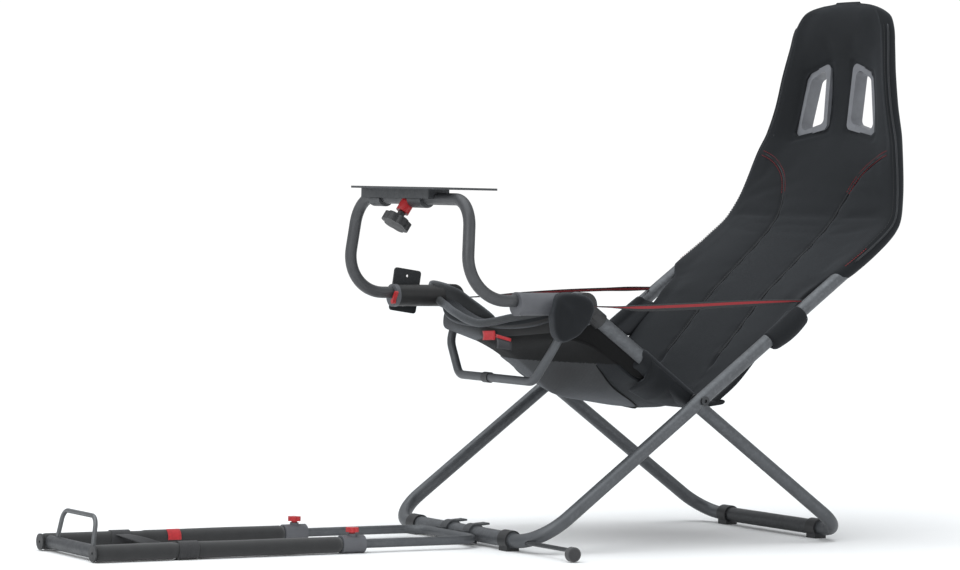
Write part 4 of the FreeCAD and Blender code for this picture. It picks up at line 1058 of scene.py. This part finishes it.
def side_flap(word, side):
    """The cloth between the seat tube and the under panel's edge, coloured near-black as painted shade."""
    lines = []
    for t in np.linspace(0, 1, 34):
        reach = 0.012 + 0.262 * t
        top = np.array(on_seat(side * 0.227, reach)) - np.array((0, 0, 0.010))
        low_y = 0.004 - 0.262 * t
        low_z = np.interp(t, [0, 0.25, 0.42, 0.55, 0.8, 1], [0.280, 0.300, 0.314, 0.338, 0.370, 0.384])
        low = np.array(at(side * 0.203, low_y, low_z))
        middle = (top + low) / 2 - np.array((side * 0.006, 0, 0))
        line = []
        for u in np.linspace(0, 1, 11):
            wave = side * 0.0012 * math.sin(9 * t + 5 * u)
            line.append(curve_point(top, middle, low, u) + np.array((wave, 0, 0)))
        lines.append(line)
    thing = curtain(f"side_flap_{word}", lines, side, 0.0018, SHADE_AND_HEM_CLOTH)
    finish_piece(thing, "seat_frame", "black_fabric")


# Each section of a corner cover: how far out it is and its share of the outline's size.
COVER_SECTIONS = [
    (0.204, 0.60), (0.207, 0.82), (0.213, 0.94), (0.224, 1.0), (0.240, 1.0),
    (0.254, 0.985), (0.262, 0.94), (0.266, 0.86), (0.268, 0.7), (0.269, 0.45),
]
NEAR_COVER = [
    (-0.316, 0.456), (-0.299, 0.468), (-0.260, 0.467), (-0.237, 0.456), (-0.233, 0.436),
    (-0.243, 0.412), (-0.267, 0.390), (-0.294, 0.379), (-0.311, 0.387), (-0.320, 0.418),
]
FAR_COVER = [
    (-0.293, 0.474), (-0.275, 0.474), (-0.240, 0.464), (-0.210, 0.446), (-0.148, 0.406),
    (-0.164, 0.397), (-0.208, 0.398), (-0.243, 0.414), (-0.276, 0.436), (-0.292, 0.454),
]


def corner_cover(word, side, outline, material):
    """The sling's front corner, drawn over the hub and sewn shut behind the arm."""
    loop = smooth_loop(outline, 56)
    middle = loop.mean(axis=0)
    rings = []
    for x, share in COVER_SECTIONS:
        lean = np.array((0.35 * (x - 0.21 if side < 0 else 0.258 - x), 0))
        spots = middle + (loop - middle) * share + lean
        rings.append([tuple(at(side * x, y, z)) for y, z in spots])
    thing = skin(f"corner_cover_{word}", rings, material)
    finer(thing)
    local = points_of(thing)
    ripple = 0.0016 * np.sin(local[:, 1] * 95 + local[:, 2] * 140) * np.sin(local[:, 2] * 60)
    local[:, 0] += ripple * side
    move_points(thing, local)
    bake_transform(thing)


# Each station of a strap: x, y and z in metres, its width in millimetres and its turn in degrees.
NEAR_STRAP = [
    (0.250, -0.238, 0.4445, 4, 82), (0.251, -0.190, 0.4432, 5, 62), (0.251, -0.129, 0.4415, 12, 14),
    (0.252, -0.060, 0.4435, 13, 8), (0.252, 0.000, 0.4458, 13, 5), (0.253, 0.090, 0.4502, 12, 8),
    (0.254, 0.184, 0.4540, 9, 20), (0.255, 0.235, 0.4558, 6, 55), (0.256, 0.271, 0.4565, 4, 80),
]
FAR_STRAP = [
    (-0.250, -0.225, 0.4415, 3, 86), (-0.251, -0.150, 0.4450, 5, 60), (-0.251, -0.060, 0.4500, 9, 20),
    (-0.252, 0.030, 0.4560, 8, 30), (-0.253, 0.120, 0.4595, 8, 35), (-0.254, 0.180, 0.4610, 10, 30),
    (-0.255, 0.232, 0.4620, 10, 50),
]


def side_strap(word, stations):
    """Webbing held taut beside the seat, turning about its own length."""
    knots = np.array(stations)[:, 1]
    curves = [pchip(knots, column) for column in np.array(stations).T]
    run = np.linspace(knots[0], knots[-1], 90)
    path = [tuple(at(*spot)) for spot in zip(curves[0](run), run, curves[2](run))]
    turns = np.radians(curves[4](run))
    wide = [(math.sin(turn), 0, math.cos(turn)) for turn in turns]
    thing = ribbon(f"strap_{word}", path, wide, curves[3](run) / 1000, STRIPED, mirror=-1)
    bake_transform(thing)
    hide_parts(f"side_strap_{word}")


def front_lip():
    """The rolled front edge of the seat, running up to the arm on each side."""
    half = [
        (0.000, -0.318, 0.4035), (0.050, -0.315, 0.409), (0.100, -0.307, 0.418), (0.150, -0.291, 0.424),
        (0.190, -0.279, 0.431), (0.212, -0.288, 0.446), (0.224, -0.304, 0.460),
    ]
    spots = [(-x, y, z) for x, y, z in half[:0:-1]] + half
    knots = np.cumsum([0] + [math.dist(a, b) for a, b in zip(spots, spots[1:])])
    table = np.array(spots)
    run = np.linspace(0, knots[-1], 90)
    path = np.stack([pchip(knots, table[:, axis])(run) for axis in range(3)], axis=1) + HOME
    # The lip's lighter cloth is a painted highlight along its roll.
    thing = tube("front_lip", path, 0.0075, HIGHLIGHT_CLOTH, 18)
    finish_piece(thing, "seat_frame", "black_fabric")


def sleeve_round(word):
    """A foam sleeve's axis, as x and z, and its radius."""
    low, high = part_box(f"pedal_sleeve_{word}")
    return (low.x + high.x) / 2, (low.z + high.z) / 2, (high.x - low.x) / 2


def foam_sleeve(word, side):
    """Foam tube over the pedal rail: slightly uneven, with rounded ends and a strap's dent."""
    low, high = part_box(f"pedal_sleeve_{word}")
    x, z, outer = sleeve_round(word)
    noise = random.Random(side + 7)
    waves = [(noise.uniform(8, 40), noise.uniform(0, 6.28)) for _ in range(5)]
    strap_low, strap_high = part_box("pedal_strap")
    rings = []
    for y in np.linspace(low.y + 0.0005, high.y - 0.0005, 70):
        inset = min(y - low.y, high.y - y)
        radius = outer - 0.0004 - 0.0035 * max(0, 1 - inset / 0.004) ** 2
        radius += sum(0.0001 * math.sin(rate * y + phase) for rate, phase in waves)
        if strap_low.y - 0.004 < y < strap_high.y + 0.004:
            radius -= 0.0012
        angles = np.linspace(0, 2 * math.pi, 32, endpoint=False)
        rings.append([(x + math.cos(a) * radius, y, z + math.sin(a) * radius) for a in angles])
    thing = skin(f"foam_{word}", rings, FINISHES["foam_sleeve"])
    finish_piece(thing, "pedal_outer", "foam_sleeve", f"pedal_sleeve_{word}")


PULL_Y = -0.887


def pedal_webbing():
    """Webbing wound round both foam tubes and crossed with a twist between them, with a red pull tab."""
    low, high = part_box("pedal_strap")
    middle_y = (low.y + high.y) / 2
    width = (high.y - low.y) * 0.9
    webbing = FINISHES["webbing"]
    wraps = []
    count = 60
    for word, side in SIDES:
        x, z, radius = sleeve_round(word)
        for turn in (0, 1):
            angles = np.radians(np.linspace(-100, 285, count))
            grow = radius + 0.0002 + 0.0011 * np.linspace(0, 1, count)
            shift = (turn - 0.5) * width * 0.42 + 0.003 * np.sin(angles * 0.5)
            ys = middle_y - (0.026 if side < 0 else 0) + shift
            path = [(x + math.cos(a) * r, y, z + math.sin(a) * r) for a, r, y in zip(angles, grow, ys)]
            widths = [width * (0.58 + 0.08 * turn)] * count
            wraps.append(ribbon("wrap", path, [(0, 1, 0)] * count, widths, webbing, 0.0013))
    left_x, z, _ = sleeve_round("left")
    right_x = sleeve_round("right")[0]
    for sign in (1, -1):
        spread = np.linspace(0, 1, 40)
        xs = left_x - 0.012 + (right_x - left_x + 0.024) * spread
        ys = middle_y - 0.02 + sign * 0.008 + (0.058 - 0.012 * sign) * (1 - spread)
        zs = z + 0.009 * sign * np.cos(np.pi * spread) - 0.003 * np.sin(np.pi * spread)
        wides = [(0, math.cos(a), math.sin(a) * 0.8) for a in np.pi * spread * sign]
        widths = 0.018 - 0.006 * np.sin(np.pi * spread)
        wraps.append(ribbon("cross", np.stack([xs, ys, zs], axis=1), wides, widths, webbing, 0.0014))
    finish_piece(join_pieces("pedal_webbing", wraps), "pedal_outer", "webbing", "pedal_strap")
    x, z, radius = sleeve_round("right")
    radius += 0.0012
    count = 16
    angles = np.radians(np.linspace(-12, 66, count))
    path = [(x + math.cos(a) * radius, PULL_Y + ORIGIN.y, z + math.sin(a) * radius) for a in angles]
    tab = ribbon("red_pull_tab", path, [(0, 1, 0)] * count, [0.026] * count, RED_TAPE, 0.0016)
    finish_piece(tab, "pedal_outer", "webbing")


LIP_TAGS = [
    ("red_lip_label", RED_TAPE, "webbing",
     [(0.014, -0.318, 0.390), (0.050, -0.314, 0.392), (0.050, -0.313, 0.375), (0.014, -0.317, 0.373)]),
    ("red_tag_edge", RED_TAPE, "webbing",
     [(0.054, -0.3135, 0.386), (0.092, -0.3055, 0.380), (0.092, -0.3055, 0.374), (0.054, -0.3135, 0.380)]),
    ("dark_lip_tag", SATIN_TAG, "black_fabric",
     [(0.054, -0.312, 0.379), (0.092, -0.304, 0.373), (0.092, -0.303, 0.358), (0.054, -0.311, 0.360)]),
]


def small_tab(name, material, word, spots):
    """A plain sewn tab through four corner points, slightly curled."""
    a, b, c, d = (np.array(at(*spot)) for spot in spots)
    normal = np.cross(b - a, d - a)
    normal /= np.linalg.norm(normal)
    half = normal * 0.0012 / 2
    rings = []
    for t in np.linspace(0, 1, 9):
        start, end = a + (d - a) * t, b + (c - b) * t
        curl = normal * 0.0014 * math.sin(math.pi * t)
        row = [start + (end - start) * u + curl for u in np.linspace(0, 1, 7)]
        rings.append([spot + half for spot in row] + [spot - half for spot in row[::-1]])
    finish_piece(skin(name, rings, material), "seat_frame", word)


def make_all():
    make_camera()
    make_studio()
    make_floor()
    dress_nodes()
    back_sling()
    back_seams()
    seat_sling()
    front_lip()
    under_panel()
    for word, side in SIDES:
        side_flap(word, side)
        side_drape(word, side)
        tube_tab(word, side)
        foam_sleeve(word, side)
    corner_cover("left", 1, NEAR_COVER, CLOTH)
    # The far cover's lighter cloth is painted light on that lit face.
    corner_cover("right", -1, FAR_COVER, HIGHLIGHT_CLOTH)
    side_strap("left", NEAR_STRAP)
    side_strap("right", FAR_STRAP)
    pedal_webbing()
    for tag in LIP_TAGS:
        small_tab(*tag)


make_all()
